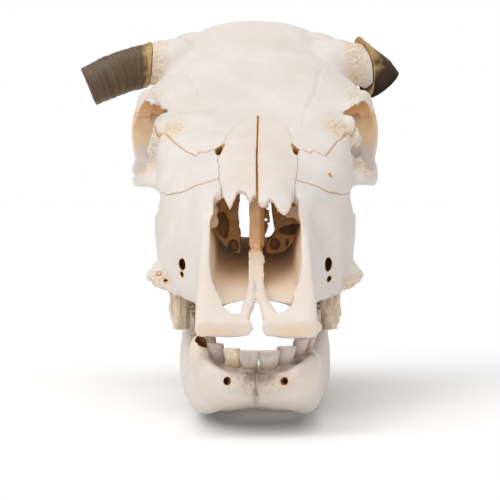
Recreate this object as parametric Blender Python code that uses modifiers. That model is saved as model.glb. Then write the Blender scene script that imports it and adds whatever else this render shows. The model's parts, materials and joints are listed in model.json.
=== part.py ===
"""Bull skull with its lower jaw and two blunt horns, life size, resting on the jaw.

Metres, +Z up, the muzzle towards -Y. The head is modelled in its own frame, where y runs back from
the front of the muzzle and z runs up from the bony palate; it is then tilted and lifted onto the jaw.
The jaw is modelled in the frame of the floor it lies on. Shapes are worked on the whole head, which
is then parted into its bones by thin cuts that follow the sutures.
"""

from math import cos, pi, radians, sin

import bmesh
import bpy
from mathutils import Euler, Matrix, Vector

# Pose of the head on its jaw, and the place of the skull's middle line and muzzle
HEAD_TILT = radians(9.0)
HEAD_LIFT = 0.078
MIDLINE_X = 0.0165
MUZZLE_Y = -0.2456

# Fineness of the fused bone, and the gap that a suture or a joint keeps
FUSE_VOXEL = 0.0030
SHAPE_VOXEL = 0.0022
SMOOTH_PASSES = 3
SUTURE_GAP = 0.0006
HEAD_FACES = 3120
JAW_FACES = 1580

# Each finish is its colour and roughness
BONE = ((0.80, 0.73, 0.63, 1.0), 0.55)
INNER_BONE = ((0.55, 0.36, 0.20, 1.0), 0.70)
HORN = ((0.07, 0.055, 0.04, 1.0), 0.40)

# Muzzle and face: back, crown height, then (out, up) of the nasal edge, shoulder, crest and gum line
FACE = [
    (0.012, 0.014, (0.030, 0.016), (0.046, 0.012), (0.0475, 0.007), (0.044, 0.003)),
    (0.060, 0.030, (0.030, 0.032), (0.0455, 0.031), (0.044, 0.011), (0.038, 0.001)),
    (0.105, 0.050, (0.030, 0.053), (0.0440, 0.051), (0.050, 0.018), (0.046, 0.000)),
    (0.130, 0.068, (0.030, 0.068), (0.0450, 0.062), (0.060, 0.020), (0.054, -0.001)),
    (0.165, 0.096, (0.030, 0.092), (0.0540, 0.072), (0.078, 0.022), (0.066, -0.004)),
    (0.215, 0.111, (0.033, 0.106), (0.0780, 0.083), (0.086, 0.030), (0.076, -0.005)),
    (0.270, 0.124, (0.044, 0.124), (0.0845, 0.104), (0.083, 0.048), (0.074, -0.003)),
    (0.306, 0.133, (0.052, 0.138), (0.0880, 0.120), (0.080, 0.058), (0.064, 0.006)),
]
PALATE_HEIGHT = 0.005

# Forehead and braincase: back, crown height, brow half width, brow height,
# half width and height of the braincase's side, height of its base
CRANIUM = [
    (0.278, 0.125, 0.083, 0.113, 0.042, 0.088, 0.068),
    (0.318, 0.140, 0.087, 0.132, 0.046, 0.090, 0.061),
    (0.352, 0.155, 0.102, 0.142, 0.052, 0.093, 0.056),
    (0.385, 0.168, 0.103, 0.148, 0.060, 0.096, 0.052),
    (0.440, 0.191, 0.097, 0.157, 0.076, 0.096, 0.046),
    (0.465, 0.203, 0.096, 0.162, 0.100, 0.088, 0.045),
    (0.482, 0.199, 0.090, 0.158, 0.096, 0.086, 0.047),
]

# Nasal bones: back, crown height, half width, height of the outer edge
NASALS = [
    (0.116, 0.083, 0.026, 0.0785),
    (0.160, 0.097, 0.029, 0.0910),
    (0.215, 0.111, 0.033, 0.1060),
    (0.292, 0.130, 0.030, 0.1280),
]
NASAL_THICKNESS = 0.0055

# Ridge down each side of the back of the head, and the rod of bone each side of the palate's front slit
NAPE_CREST = [(0.050, 0.478, 0.186), (0.084, 0.480, 0.150), (0.101, 0.470, 0.108)]
NAPE_CREST_RADII = [0.009, 0.0075, 0.008]
PALATINE = [(0.0125, 0.012, 0.009), (0.008, 0.034, 0.016), (0.005, 0.066, 0.020)]
PALATINE_RADII = [0.0045, 0.004, 0.004]

# Upright plate of the nose: back, half thickness, bottom and top height
VOMER = [
    (0.0740, 0.0050, 0.0182, 0.0300),
    (0.1000, 0.0060, 0.0190, 0.0440),
    (0.1350, 0.0058, 0.0200, 0.0500),
    (0.1500, 0.0052, 0.0206, 0.0680),
    (0.2000, 0.0045, 0.0226, 0.0700),
    (0.3000, 0.0035, 0.0232, 0.0520),
]

# Air passage of the nose: back, roof height, roof half width, (out, up) of its widest place,
# floor half width, floor height
NOSE = [
    (0.020, 0.052, 0.022, (0.0235, 0.030), 0.020, 0.0140),
    (0.060, 0.060, 0.030, (0.0345, 0.036), 0.028, 0.0150),
    (0.118, 0.0765, 0.030, (0.0370, 0.062), 0.029, 0.0175),
    (0.150, 0.0865, 0.026, (0.0375, 0.066), 0.028, 0.0190),
    (0.190, 0.0960, 0.023, (0.0375, 0.064), 0.027, 0.0210),
    (0.235, 0.0980, 0.021, (0.0365, 0.060), 0.025, 0.0220),
    (0.270, 0.0780, 0.017, (0.0300, 0.050), 0.023, 0.0220),
    (0.312, 0.0600, 0.014, (0.0230, 0.044), 0.019, 0.0200),
]

# Eye socket: its middle, its half sizes, and the turn of its mouth towards the front
ORBIT_CENTRE = (0.112, 0.332, 0.107)
ORBIT_RADII = (0.054, 0.0310, 0.0310)
ORBIT_TURN = radians(14.0)
ORBIT_LEAN = radians(5.0)
ORBIT_RIM_MIDDLE = (0.0990, 0.332, 0.107)
ORBIT_RIM_RADIUS = 0.0340
ORBIT_RIM_THICKNESS = 0.0058
ORBIT_RIM_SHARES = (1.1, 0.95, 1.0)

# Process beside the neck, and the wing of bone beside the throat
NECK_PROCESS = [(0.050, 0.470, 0.070), (0.053, 0.470, 0.044), (0.047, 0.466, 0.016)]
THROAT_WING = [(0.026, 0.300, 0.028), (0.025, 0.318, 0.034), (0.028, 0.345, 0.060)]

# Cheek arch below and behind the socket, and the bar that closes the socket behind
ARCH = [(0.084, 0.268, 0.072), (0.098, 0.298, 0.078), (0.1045, 0.335, 0.074), (0.1050, 0.372, 0.078),
        (0.098, 0.405, 0.083), (0.080, 0.440, 0.088)]
ARCH_RADII = [0.012, 0.0125, 0.0105, 0.0095, 0.0105, 0.014]
SOCKET_BAR = [(0.1045, 0.362, 0.080), (0.1090, 0.367, 0.110), (0.1000, 0.366, 0.140)]
SOCKET_BAR_RADII = [0.008, 0.0075, 0.010]

# Sutures seen from the side, as (back, up) lines
BROW_BASE = [(0.246, 0.082), (0.300, 0.110), (0.360, 0.124), (0.440, 0.142), (0.53, 0.152)]
INCISIVE = [(0.130, 0.064), (0.088, 0.038), (0.055, 0.012)]
INCISIVE_TOP = [(0.128, 0.0628), (0.150, 0.078), (0.166, 0.110)]
CHEEK_TOP = [(0.196, 0.130), (0.222, 0.105), (0.250, 0.0805)]
CHEEK_BACK = [(0.2440, 0.0858), (0.268, 0.062), (0.300, 0.040), (0.316, 0.010)]

# Sutures seen from above, as (out, back) lines
NOSE_ROOT = [(0.0355, 0.2260), (0.0340, 0.2360), (0.026, 0.268), (0.014, 0.288), (0.003, 0.2930)]
NOSE_CORNER = [(0.0355, 0.2260), (0.0340, 0.2360), (0.0298, 0.2528)]
NASAL_EDGE = [(0.0278, 0.100), (0.0290, 0.160), (0.0325, 0.205), (0.0350, 0.2330)]
TEAR_BONE = [(0.0315, 0.2270), (0.046, 0.248), (0.060, 0.256), (0.075, 0.266), (0.098, 0.300), (0.110, 0.320)]
SOCKET_WALL = [(0.050, 0.224), (0.050, 0.304), (0.062, 0.340)]
ARCH_JOINT = [(0.085, 0.384), (0.125, 0.378)]

# Horns: where each leaves the forehead, its collar, its bend and its cut end, in the head's frame
HORN_ROOT = (0.074, 0.452, 0.166)
LEFT_HORN = [(-0.1035, 0.4555, 0.1645), (-0.134, 0.446, 0.1560), (-0.1670, 0.4300, 0.1425)]
RIGHT_HORN = [(0.1070, 0.4535, 0.1630), (0.1185, 0.4460, 0.1550), (0.1290, 0.4360, 0.1460)]
HORN_RADIUS = 0.0205
NECK_RADIUS = 0.0200

# Cheek teeth: how far back the row starts and ends, its distance out, and the crown's height
TOOTH_ROW = (0.150, 0.287)
TOOTH_COUNT = 6
TOOTH_HALF_WIDTH = 0.0095
UPPER_TOOTH_DROP = -0.031
UPPER_TOOTH_TOP = 0.010

# Front of the lower jaw: back, half width, bottom height, rim height, height of its middle
CHIN = [
    (0.006, 0.034, 0.036, 0.053, 0.050),
    (0.022, 0.045, 0.026, 0.062, 0.052),
    (0.045, 0.045, 0.021, 0.064, 0.052),
    (0.070, 0.041, 0.018, 0.058, 0.050),
    (0.092, 0.040, 0.016, 0.052, 0.048),
]

# Body of the lower jaw: back, distance out, half thickness, bottom and top height
JAW_BODY = [
    (0.035, 0.028, 0.0140, 0.0210, 0.048),
    (0.080, 0.033, 0.0110, 0.0140, 0.049),
    (0.120, 0.0385, 0.0110, 0.0080, 0.053),
    (0.165, 0.0450, 0.0125, 0.0020, 0.061),
    (0.225, 0.0520, 0.0135, -0.0015, 0.069),
    (0.290, 0.0550, 0.0125, -0.0020, 0.079),
    (0.345, 0.0580, 0.0095, -0.0010, 0.096),
    (0.388, 0.0605, 0.0060, 0.0240, 0.110),
]

# Outline of that body: share of the half thickness outwards, share of the height
JAW_OUTLINE = [(0, 1), (0.75, 0.90), (1, 0.62), (0.96, 0.36), (0.56, 0.12), (-0.15, 0), (-0.78, 0.08),
               (-0.96, 0.35), (-0.90, 0.65), (-0.70, 0.90)]

# Upright branch of the jaw: height, front and back edge, distance out, half thickness
JAW_BRANCH = [
    (0.014, 0.320, 0.378, 0.0590, 0.0065),
    (0.060, 0.312, 0.400, 0.0625, 0.0060),
    (0.110, 0.326, 0.405, 0.0690, 0.0050),
    (0.155, 0.342, 0.408, 0.0755, 0.0045),
    (0.188, 0.350, 0.412, 0.0800, 0.0050),
]
JAW_HINGE = (0.082, 0.401, 0.2000)
JAW_HOOK = [(0.079, 0.360, 0.180), (0.0775, 0.366, 0.215), (0.0765, 0.378, 0.244)]
LOWER_ROW = (0.147, 0.284)
LOWER_TOOTH_HEIGHT = 0.022
CHIN_HOLE = (0.0225, 0.012, 0.041)
CHIN_HOLE_RADII = (0.0032, 0.012, 0.0040)
LOST_TOOTH = (-0.0425, 0.024, 0.070)
BITE_GAP = 0.0012

# Incisors: distance out, distance back, height of the crown's top, width; the fourth left is lost
INCISORS = [
    (-0.0315, 0.018, 0.0725, 0.0112),
    (-0.0185, 0.010, 0.0690, 0.0118),
    (-0.0055, 0.006, 0.0680, 0.0136),
    (0.0105, 0.006, 0.0680, 0.0140),
    (0.0238, 0.010, 0.0710, 0.0132),
    (0.0355, 0.018, 0.0765, 0.0104),
    (0.0435, 0.028, 0.0810, 0.0092),
]
INCISOR_HEIGHT = 0.019
INCISOR_LEAN = 0.013

# A crown from its neck to its edge: share of the height, share of the width, half depth
INCISOR_RINGS = [(0.0, 0.50, 0.0034), (0.35, 0.70, 0.0038), (0.8, 0.98, 0.0030), (1.0, 0.90, 0.0018)]


# ---------------------------------------------------------------- small tools of the modelling
def flat(row):
    """A row's numbers in one list, its (out, up) pairs opened."""
    numbers = []
    for item in row:
        numbers.extend(item if isinstance(item, tuple) else (item,))
    return numbers


def smooth_rows(rows, count):
    """Rows of a smooth course through the given ones, count of them, evenly spaced by first value."""
    rows = [flat(row) for row in rows]
    places = [row[0] for row in rows]
    slopes = []
    for i in range(len(rows)):
        before, after = rows[max(i - 1, 0)], rows[min(i + 1, len(rows) - 1)]
        slopes.append([(b - a) / (after[0] - before[0]) for a, b in zip(before, after)])
    course = []
    for step in range(count):
        place = places[0] + (places[-1] - places[0]) * step / (count - 1)
        i = max(k for k in range(len(rows) - 1) if places[k] <= place + 1e-9)
        span = places[i + 1] - places[i]
        t = (place - places[i]) / span
        start, rise = 2 * t**3 - 3 * t**2 + 1, t**3 - 2 * t**2 + t
        end, fall = -2 * t**3 + 3 * t**2, t**3 - t**2
        course.append([
            start * a + rise * span * m + end * b + fall * span * n
            for a, b, m, n in zip(rows[i], rows[i + 1], slopes[i], slopes[i + 1])
        ])
    return course


def rounded(loop, steps=4):
    """A closed loop of 2-D points, drawn smoothly through the given ones."""
    drawn = []
    count = len(loop)
    for i in range(count):
        a, b, c, d = (Vector(loop[(i + k) % count]) for k in (-1, 0, 1, 2))
        for step in range(steps):
            t = step / steps
            drawn.append(0.5 * (2 * b + (c - a) * t + (2 * a - 5 * b + 4 * c - d) * t**2
                                + (3 * b - a - 3 * c + d) * t**3))
    return drawn


def both_sides(half):
    """A closed loop from a half section, which starts at the top and ends at the bottom of the middle."""
    return half + [(-x, z) for x, z in reversed(half[1:-1])]


def add_object(name, mesh):
    thing = bpy.data.objects.new(name, mesh)
    bpy.context.scene.collection.objects.link(thing)
    return thing


def loft(name, rings):
    """A closed skin over rings of 3-D points, all with the same count."""
    count = len(rings[0])
    faces = [tuple(range(count)), tuple(reversed(range((len(rings) - 1) * count, len(rings) * count)))]
    for r in range(len(rings) - 1):
        for i in range(count):
            a, b = r * count + i, r * count + (i + 1) % count
            faces.append((a, a + count, b + count, b))
    mesh = bpy.data.meshes.new(name)
    mesh.from_pydata([tuple(p) for ring in rings for p in ring], [], faces)
    outward(mesh)
    return add_object(name, mesh)


def outward(mesh):
    shape = bmesh.new()
    shape.from_mesh(mesh)
    bmesh.ops.recalc_face_normals(shape, faces=shape.faces)
    shape.to_mesh(mesh)
    shape.free()


def lengthwise_loft(name, rows, section, count=40, steps=4):
    """A loft along y: section turns each smooth row into its loop of (x, z) points."""
    rings = []
    for row in smooth_rows(rows, count):
        rings.append([(p.x, row[0], p.y) for p in rounded(section(row), steps)])
    return loft(name, rings)


def egg(name, centre, radii, turn=(0, 0, 0)):
    """An ellipsoid."""
    shape = bmesh.new()
    bmesh.ops.create_uvsphere(shape, u_segments=24, v_segments=16, radius=1.0)
    mesh = bpy.data.meshes.new(name)
    shape.to_mesh(mesh)
    shape.free()
    mesh.transform(Matrix.LocRotScale(Vector(centre), Euler(turn, "XYZ"), Vector(radii)))
    return add_object(name, mesh)


def rod(name, points, radii, flatten=1.0):
    """A round tapered rod through the points, closed at both ends; flatten thins it along x."""
    curve = bpy.data.curves.new(name, "CURVE")
    curve.dimensions = "3D"
    curve.bevel_depth = 1.0
    curve.bevel_resolution = 3
    curve.resolution_u = 4
    curve.use_fill_caps = True
    spline = curve.splines.new("BEZIER")
    spline.bezier_points.add(len(points) - 1)
    for knot, point, radius in zip(spline.bezier_points, points, radii):
        knot.co, knot.radius = point, radius
        knot.handle_left_type = knot.handle_right_type = "AUTO"
    source = add_object(name, curve)
    mesh = bpy.data.meshes.new_from_object(source.evaluated_get(bpy.context.evaluated_depsgraph_get()))
    bpy.data.objects.remove(source)
    bpy.data.curves.remove(curve)
    shape = bmesh.new()
    shape.from_mesh(mesh)
    bmesh.ops.remove_doubles(shape, verts=shape.verts, dist=1e-6)
    bmesh.ops.recalc_face_normals(shape, faces=shape.faces)
    middle = sum((Vector(p) for p in points), Vector()) / len(points)
    bmesh.ops.scale(shape, vec=(flatten, 1, 1), space=Matrix.Translation(-middle), verts=shape.verts)
    shape.to_mesh(mesh)
    shape.free()
    return add_object(name, mesh)


def box(name, low, high):
    shape = bmesh.new()
    bmesh.ops.create_cube(shape, size=1.0)
    mesh = bpy.data.meshes.new(name)
    shape.to_mesh(mesh)
    shape.free()
    low, high = Vector(low), Vector(high)
    mesh.transform(Matrix.LocRotScale((low + high) / 2, None, high - low))
    return add_object(name, mesh)


def sheet(name, line, low, high, axis, thickness=SUTURE_GAP):
    """A thin upright cut: a line of (first, second) points, drawn out along axis from low to high."""
    order = {"x": lambda p, e: (e, p[0], p[1]), "z": lambda p, e: (p[0], p[1], e)}[axis]
    mesh = bpy.data.meshes.new(name)
    corners = [order(p, e) for p in line for e in (low, high)]
    mesh.from_pydata(corners, [], [(2 * i, 2 * i + 1, 2 * i + 3, 2 * i + 2) for i in range(len(line) - 1)])
    thing = add_object(name, mesh)
    solid = thing.modifiers.new("Thickness", "SOLIDIFY")
    solid.thickness = thickness
    solid.offset = 0.0
    return settled(thing)


def mirrored(points):
    return [(-p[0], *p[1:]) for p in points]


def on_side(side, point):
    return (side * point[0], *point[1:])


def line_on_side(side, points):
    """A line of points put on one side."""
    return [on_side(side, point) for point in points]


def settled(thing):
    """The object with its modifiers made part of its mesh."""
    graph = bpy.context.evaluated_depsgraph_get()
    mesh = bpy.data.meshes.new_from_object(thing.evaluated_get(graph))
    thing.modifiers.clear()
    old = thing.data
    thing.data = mesh
    bpy.data.meshes.remove(old)
    return thing


def joined(name, things):
    """One object that holds all the given closed shapes."""
    shape = bmesh.new()
    for thing in things:
        shape.from_mesh(thing.data)
        bpy.data.objects.remove(thing)
    mesh = bpy.data.meshes.new(name)
    shape.to_mesh(mesh)
    shape.free()
    return add_object(name, mesh)


def fused(name, things, voxel):
    """Overlapping closed shapes grown together into one skin."""
    whole = joined(name, things)
    remesh = whole.modifiers.new("Fuse", "REMESH")
    remesh.mode = "VOXEL"
    remesh.voxel_size = voxel
    return settled(whole)


def carved(whole, cutters):
    """The whole with each cutter's room taken out of it."""
    for cutter in cutters:
        cut = whole.modifiers.new("Cut", "BOOLEAN")
        cut.operation = "DIFFERENCE"
        cut.object = cutter
        settled(whole)
        bpy.data.objects.remove(cutter)
    return whole


def softened(whole, voxel, passes):
    """The carved whole with its edges worn round."""
    remesh = whole.modifiers.new("Even", "REMESH")
    remesh.mode = "VOXEL"
    remesh.voxel_size = voxel
    smooth = whole.modifiers.new("Worn", "SMOOTH")
    smooth.factor = 0.5
    smooth.iterations = passes
    return settled(whole)


def simplified(whole, faces):
    settled_faces = sum(len(p.vertices) - 2 for p in whole.data.polygons)
    fewer = whole.modifiers.new("Fewer", "DECIMATE")
    fewer.ratio = min(1.0, faces / settled_faces)
    return settled(whole)


# ---------------------------------------------------------------- the face and the braincase
def face_section(row):
    """Half loop of the face at one place, from the crown down to the palate."""
    _, crown, nasal_x, nasal_z, shoulder_x, shoulder_z, crest_x, crest_z, gum_x, gum_z = row
    nasal, shoulder = Vector((nasal_x, nasal_z)), Vector((shoulder_x, shoulder_z))
    crest, gum = Vector((crest_x, crest_z)), Vector((gum_x, gum_z))
    rim = nasal.lerp(shoulder, 0.6) + bulge(nasal, shoulder, 0.12)
    cheek = shoulder.lerp(crest, 0.5) + bulge(shoulder, crest, 0.07)
    half = [(0.0, crown), (0.52 * nasal_x, crown + 0.2 * (nasal_z - crown)), tuple(nasal), tuple(rim),
            tuple(shoulder), tuple(cheek), tuple(crest), tuple(gum), (0.62 * gum_x, gum_z + 0.001),
            (0.0, PALATE_HEIGHT)]
    return both_sides(half)


def bulge(start, end, share):
    """A push outwards, square to the line from start to end."""
    line = end - start
    return Vector((-line.y, line.x)) * share


def cranium_section(row):
    """Half loop through forehead, brow edge and braincase."""
    _, crown, brow_x, brow_z, side_x, side_z, base = row
    drop = brow_z - crown
    half = [(0.0, crown), (0.32 * brow_x, crown + 0.04 * drop), (0.60 * brow_x, crown + 0.22 * drop),
            (0.86 * brow_x, crown + 0.60 * drop), (brow_x, brow_z), (0.90 * brow_x, brow_z - 0.014),
            (side_x + 0.006, side_z + 0.024), (side_x, side_z),
            (0.80 * side_x, 0.5 * (side_z + base) - 0.006), (0.45 * side_x, base), (0.0, base)]
    return both_sides(half)


def nasal_section(row):
    _, crown, half_width, edge = row
    half = [(0.0, crown), (0.55 * half_width, crown + 0.1 * (edge - crown)), (half_width, edge),
            (0.9 * half_width, edge - NASAL_THICKNESS), (0.0, crown - NASAL_THICKNESS)]
    return both_sides(half)


def orbit_ring(side):
    """The raised rim round the eye socket: a torus, a little shorter than high, that faces outwards."""
    bpy.ops.mesh.primitive_torus_add(major_segments=40, minor_segments=10, major_radius=ORBIT_RIM_RADIUS,
                                     minor_radius=ORBIT_RIM_THICKNESS)
    ring = bpy.context.active_object
    ring.name = "orbit_rim"
    facing = (Matrix.Rotation(-side * ORBIT_TURN, 4, "Z") @ Matrix.Rotation(-side * ORBIT_LEAN, 4, "Y")
              @ Matrix.Diagonal((*ORBIT_RIM_SHARES, 1.0)) @ Matrix.Rotation(pi / 2, 4, "Y"))
    ring.data.transform(Matrix.Translation(on_side(side, ORBIT_RIM_MIDDLE)) @ facing)
    return ring


def cheek_arch(side):
    """Cheek bone below the socket, the arch behind it and the bar that closes the socket."""
    arch = rod("arch", line_on_side(side, ARCH), ARCH_RADII)
    bar = rod("bar", line_on_side(side, SOCKET_BAR), SOCKET_BAR_RADII)
    joint = egg("jaw_joint", on_side(side, (0.083, 0.418, 0.083)), (0.024, 0.017, 0.0125))
    return [arch, bar, joint]


def back_of_head(side):
    """Condyle of the neck, the process beside it, the ear bone and the wing beside the throat."""
    condyle = egg("condyle", on_side(side, (0.024, 0.486, 0.064)), (0.018, 0.016, 0.021), (0, 0, side * 0.4))
    process = rod("process", line_on_side(side, NECK_PROCESS), [0.015, 0.011, 0.005])
    ear = egg("ear_bone", on_side(side, (0.046, 0.435, 0.046)), (0.015, 0.020, 0.016))
    mastoid = egg("mastoid", on_side(side, (0.094, 0.462, 0.094)), (0.017, 0.018, 0.022))
    wing = rod("wing", line_on_side(side, THROAT_WING), [0.007, 0.006, 0.009], 0.7)
    return [condyle, process, ear, mastoid, wing]


def cheek_teeth(side, low, high, out, start, end):
    """A row of worn cheek teeth, each a squared block; low, high and out are functions of the place."""
    row = []
    length = (end - start) / TOOTH_COUNT
    for i in range(TOOTH_COUNT):
        growth = 0.80 + 0.07 * i
        middle = start + length * (i + 0.5)
        half_length = 0.46 * length
        half_width = TOOTH_HALF_WIDTH * growth
        x = out(middle)
        for shift in (-0.5, 0.5):
            y = middle + shift * half_length
            row.append(box("tooth", (side * x - half_width, y - 0.52 * half_length, low(y)),
                           (side * x + half_width, y + 0.52 * half_length, high(y))))
        row.append(box("tooth", (side * x - 0.86 * half_width, middle - 0.97 * half_length, low(middle)),
                       (side * x + 0.86 * half_width, middle + 0.97 * half_length, high(middle))))
    return row


def upper_row_out(y):
    """How far out the upper tooth row stands at a place along the face."""
    t = (y - TOOTH_ROW[0]) / (TOOTH_ROW[1] - TOOTH_ROW[0])
    return 0.054 + 0.019 * t - 0.012 * t * t


def horn_neck(side, collar):
    root = on_side(side, HORN_ROOT)
    return rod("neck", [root, collar], [NECK_RADIUS * 1.25, NECK_RADIUS])


def head_whole():
    """The head before it is parted, in its own frame."""
    things = [
        lengthwise_loft("face", FACE, face_section),
        lengthwise_loft("cranium", CRANIUM, cranium_section),
        lengthwise_loft("nasals", NASALS, nasal_section),
        egg("poll", (0.006, 0.470, 0.190), (0.060, 0.014, 0.017)),
        egg("nape", (0, 0.468, 0.130), (0.060, 0.022, 0.050)),
        egg("nape_knob", (0, 0.487, 0.138), (0.010, 0.009, 0.016)),
    ]
    for side in (-1, 1):
        things.append(orbit_ring(side))
        things.append(egg("tuber", on_side(side, (0.079, 0.181, 0.013)), (0.0125, 0.020, 0.015)))
        things.append(egg("gum_end", on_side(side, (0.056, 0.297, 0.020)), (0.018, 0.021, 0.024)))
        things.append(rod("nape_crest", line_on_side(side, NAPE_CREST), NAPE_CREST_RADII))
        things.extend(cheek_arch(side))
        things.extend(back_of_head(side))
        things.extend(cheek_teeth(side, lambda y: UPPER_TOOTH_DROP, lambda y: UPPER_TOOTH_TOP, upper_row_out,
                                  *TOOTH_ROW))
    things.append(horn_neck(-1, LEFT_HORN[0]))
    things.append(horn_neck(1, RIGHT_HORN[0]))
    whole = fused("head", things, FUSE_VOXEL)
    carved(whole, head_hollows())
    things = [whole]
    for side in (-1, 1):
        things.append(rod("palatine_process", line_on_side(side, PALATINE), PALATINE_RADII))
    whole = joined("head", things)
    return softened(whole, SHAPE_VOXEL, SMOOTH_PASSES)


def nose_section(row):
    _, roof, roof_x, wide_x, wide_z, floor_x, floor = row
    half = [(0.0, roof), (0.55 * roof_x, roof), (roof_x, roof - 0.003), (wide_x, wide_z),
            (0.5 * (wide_x + floor_x) + 0.001, 0.5 * (wide_z + floor)), (floor_x, floor + 0.002),
            (0.0, floor)]
    return both_sides(half)


def head_hollows():
    """Nose, eye sockets, palate holes, face holes, the clefts of the nasal bones and the brain's door."""
    hollows = [lengthwise_loft("nose", NOSE, nose_section)]
    hollows.append(rod("brain_door", [(0, 0.50, 0.088), (0, 0.455, 0.090)], [0.0165, 0.015]))
    hollows.append(wedge("front_notch", (0, 0.030), 0.0045, -0.004, -0.02, 0.04))
    for side in (-1, 1):
        hollows.append(egg("orbit", on_side(side, ORBIT_CENTRE), ORBIT_RADII,
                           (0, -side * ORBIT_LEAN, -side * ORBIT_TURN)))
        hollows.append(egg("brow_notch", on_side(side, (0.1010, 0.3145, 0.1420)), (0.0180, 0.0190, 0.0125)))
        hollows.append(egg("temple_door", on_side(side, (0.077, 0.362, 0.102)), (0.0135, 0.034, 0.016)))
        hollows.append(egg("palate_hole", on_side(side, (0.0155, 0.036, 0.010)), (0.0085, 0.024, 0.020)))
        hollows.append(egg("face_hole", on_side(side, (0.064, 0.148, 0.025)), (0.013, 0.0095, 0.0060),
                           (0, 0, side * 0.9)))
        hollows.append(wedge("nasal_notch", (side * 0.0125, 0.140), 0.0085, 0.104, 0.06, 0.12))
        hollows.append(wedge("side_notch", (side * 0.0290, 0.152), 0.0065, 0.104, 0.055, 0.12, side * 0.006))
    return hollows


def wedge(name, tip, half_mouth, mouth_y, low, high, lean=0.0):
    """A pointed cut, seen from above: its tip at the back and its mouth towards the muzzle."""
    x, y = tip
    corners = [(x, y), (x + lean - half_mouth, mouth_y), (x + lean + half_mouth, mouth_y)]
    return loft(name, [[(cx, cy, low) for cx, cy in corners], [(cx, cy, high) for cx, cy in corners]])


# ---------------------------------------------------------------- parting the head into bones
def suture_cuts():
    """Thin sheets along the sutures. Each runs a little past the one it meets."""
    top, low, reach, past = 0.26, -0.06, 0.20, 0.001
    cuts = [
        sheet("midline", [(0.0, -0.02), (0.0, 0.2935)], low, top, "z"),
        sheet("palate_line", [(0.0, 0.2800), (0.0, 0.3300)], low, 0.050, "z"),
        sheet("brow_base", BROW_BASE, -reach, reach, "x"),
        sheet("nose_side", [(0.222, 0.070), (0.250, 0.0841)], -0.0502, 0.0502, "x"),
        sheet("nose_root", mirrored(NOSE_ROOT) + NOSE_ROOT[::-1], 0.085, top, "z"),
    ]
    for side in (-1, 1):
        out = side * reach
        cuts.append(sheet("nasal_edge", line_on_side(side, NASAL_EDGE), 0.058, top, "z"))
        cuts.append(sheet("nose_corner", line_on_side(side, NOSE_CORNER), 0.058, 0.086, "z"))
        cuts.append(sheet("incisive", INCISIVE + [(INCISIVE[0][0] - 0.003, low)], -past * side, out, "x"))
        cuts.append(sheet("incisive_top", INCISIVE_TOP, side * 0.0283, out, "x"))
        cuts.append(sheet("cheek_top", CHEEK_TOP, side * 0.0318, out, "x"))
        cuts.append(sheet("cheek_back", CHEEK_BACK + [(CHEEK_BACK[-1][0], low)], -past * side, out, "x"))
        cuts.append(sheet("tear_bone", line_on_side(side, TEAR_BONE), 0.070, top, "z"))
        cuts.append(sheet("socket_wall", line_on_side(side, SOCKET_WALL), low, 0.116, "z"))
        cuts.append(sheet("arch_joint", line_on_side(side, ARCH_JOINT), 0.050, 0.105, "z"))
    return cuts


def bones_apart(whole, cuts, middles):
    """Parts the whole along the cuts; each loose bone takes the name of the middle nearest to its own."""
    carved(whole, cuts)
    shape = bmesh.new()
    shape.from_mesh(whole.data)
    bpy.data.objects.remove(whole)
    left = set(shape.faces)
    largest = {}
    while left:
        start = left.pop()
        island, front = [start], [start]
        while front:
            for edge in front.pop().edges:
                for face in edge.link_faces:
                    if face in left:
                        left.discard(face)
                        island.append(face)
                        front.append(face)
        name = min(middles, key=lambda key: (island_middle(island) - Vector(middles[key])).length)
        if name not in largest or island_volume(island) > island_volume(largest[name]):
            largest[name] = island
    bones = {name: add_object(name, island_mesh(name, island)) for name, island in largest.items()}
    shape.free()
    return bones


def island_volume(island):
    """Room inside a closed set of faces."""
    total = 0.0
    for face in island:
        first = face.verts[0].co
        for a, b in zip(face.verts[1:-1], face.verts[2:]):
            total += first.dot(a.co.cross(b.co)) / 6
    return abs(total)


def island_middle(island):
    """Middle of the box round an island."""
    points = [v.co for f in island for v in f.verts]
    low = Vector(min(p[i] for p in points) for i in range(3))
    high = Vector(max(p[i] for p in points) for i in range(3))
    return (low + high) / 2


def island_mesh(name, island):
    corners = sorted({v for f in island for v in f.verts}, key=lambda v: v.index)
    place = {v: i for i, v in enumerate(corners)}
    mesh = bpy.data.meshes.new(name)
    mesh.from_pydata([tuple(v.co) for v in corners], [], [[place[v] for v in f.verts] for f in island])
    return mesh


def horn_room(side, line):
    """What the horn takes from the neck of bone: all that lies beyond the collar."""
    collar, bend = Vector(line[0]), Vector(line[1])
    way = (bend - collar).normalized()
    return rod("horn_room", [collar - way * SUTURE_GAP, collar + way * 0.03], [0.032, 0.032])


def horn(name, line):
    """A blunt horn, sawn square, a little thicker at its collar."""
    return rod(name, line, [HORN_RADIUS * 1.04, HORN_RADIUS, HORN_RADIUS * 0.95])


def vomer():
    """The upright plate in the middle of the nose."""
    def section(row):
        _, half, low, high = row
        return both_sides([(0.0, high), (half, high - 0.003), (half, 0.5 * (low + high)),
                           (0.8 * half, low + 0.002), (0.0, low)])
    return lengthwise_loft("vomer", VOMER, section, 9, 2)


# ---------------------------------------------------------------- the lower jaw
def chin_section(row):
    _, half, low, rim, middle = row
    half_loop = [(0.0, middle), (0.55 * half, middle + 0.15 * (rim - middle)), (0.88 * half, rim),
                 (half, rim - 0.006), (0.92 * half, 0.5 * (low + rim)), (0.66 * half, low + 0.004),
                 (0.36 * half, low), (0.0, low + 0.002)]
    return both_sides(half_loop)


def jaw_section(side):
    def section(row):
        _, out, half, low, high = row
        tall = high - low
        return [(side * (out + wide * half), low + up * tall) for wide, up in JAW_OUTLINE]
    return section


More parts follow.
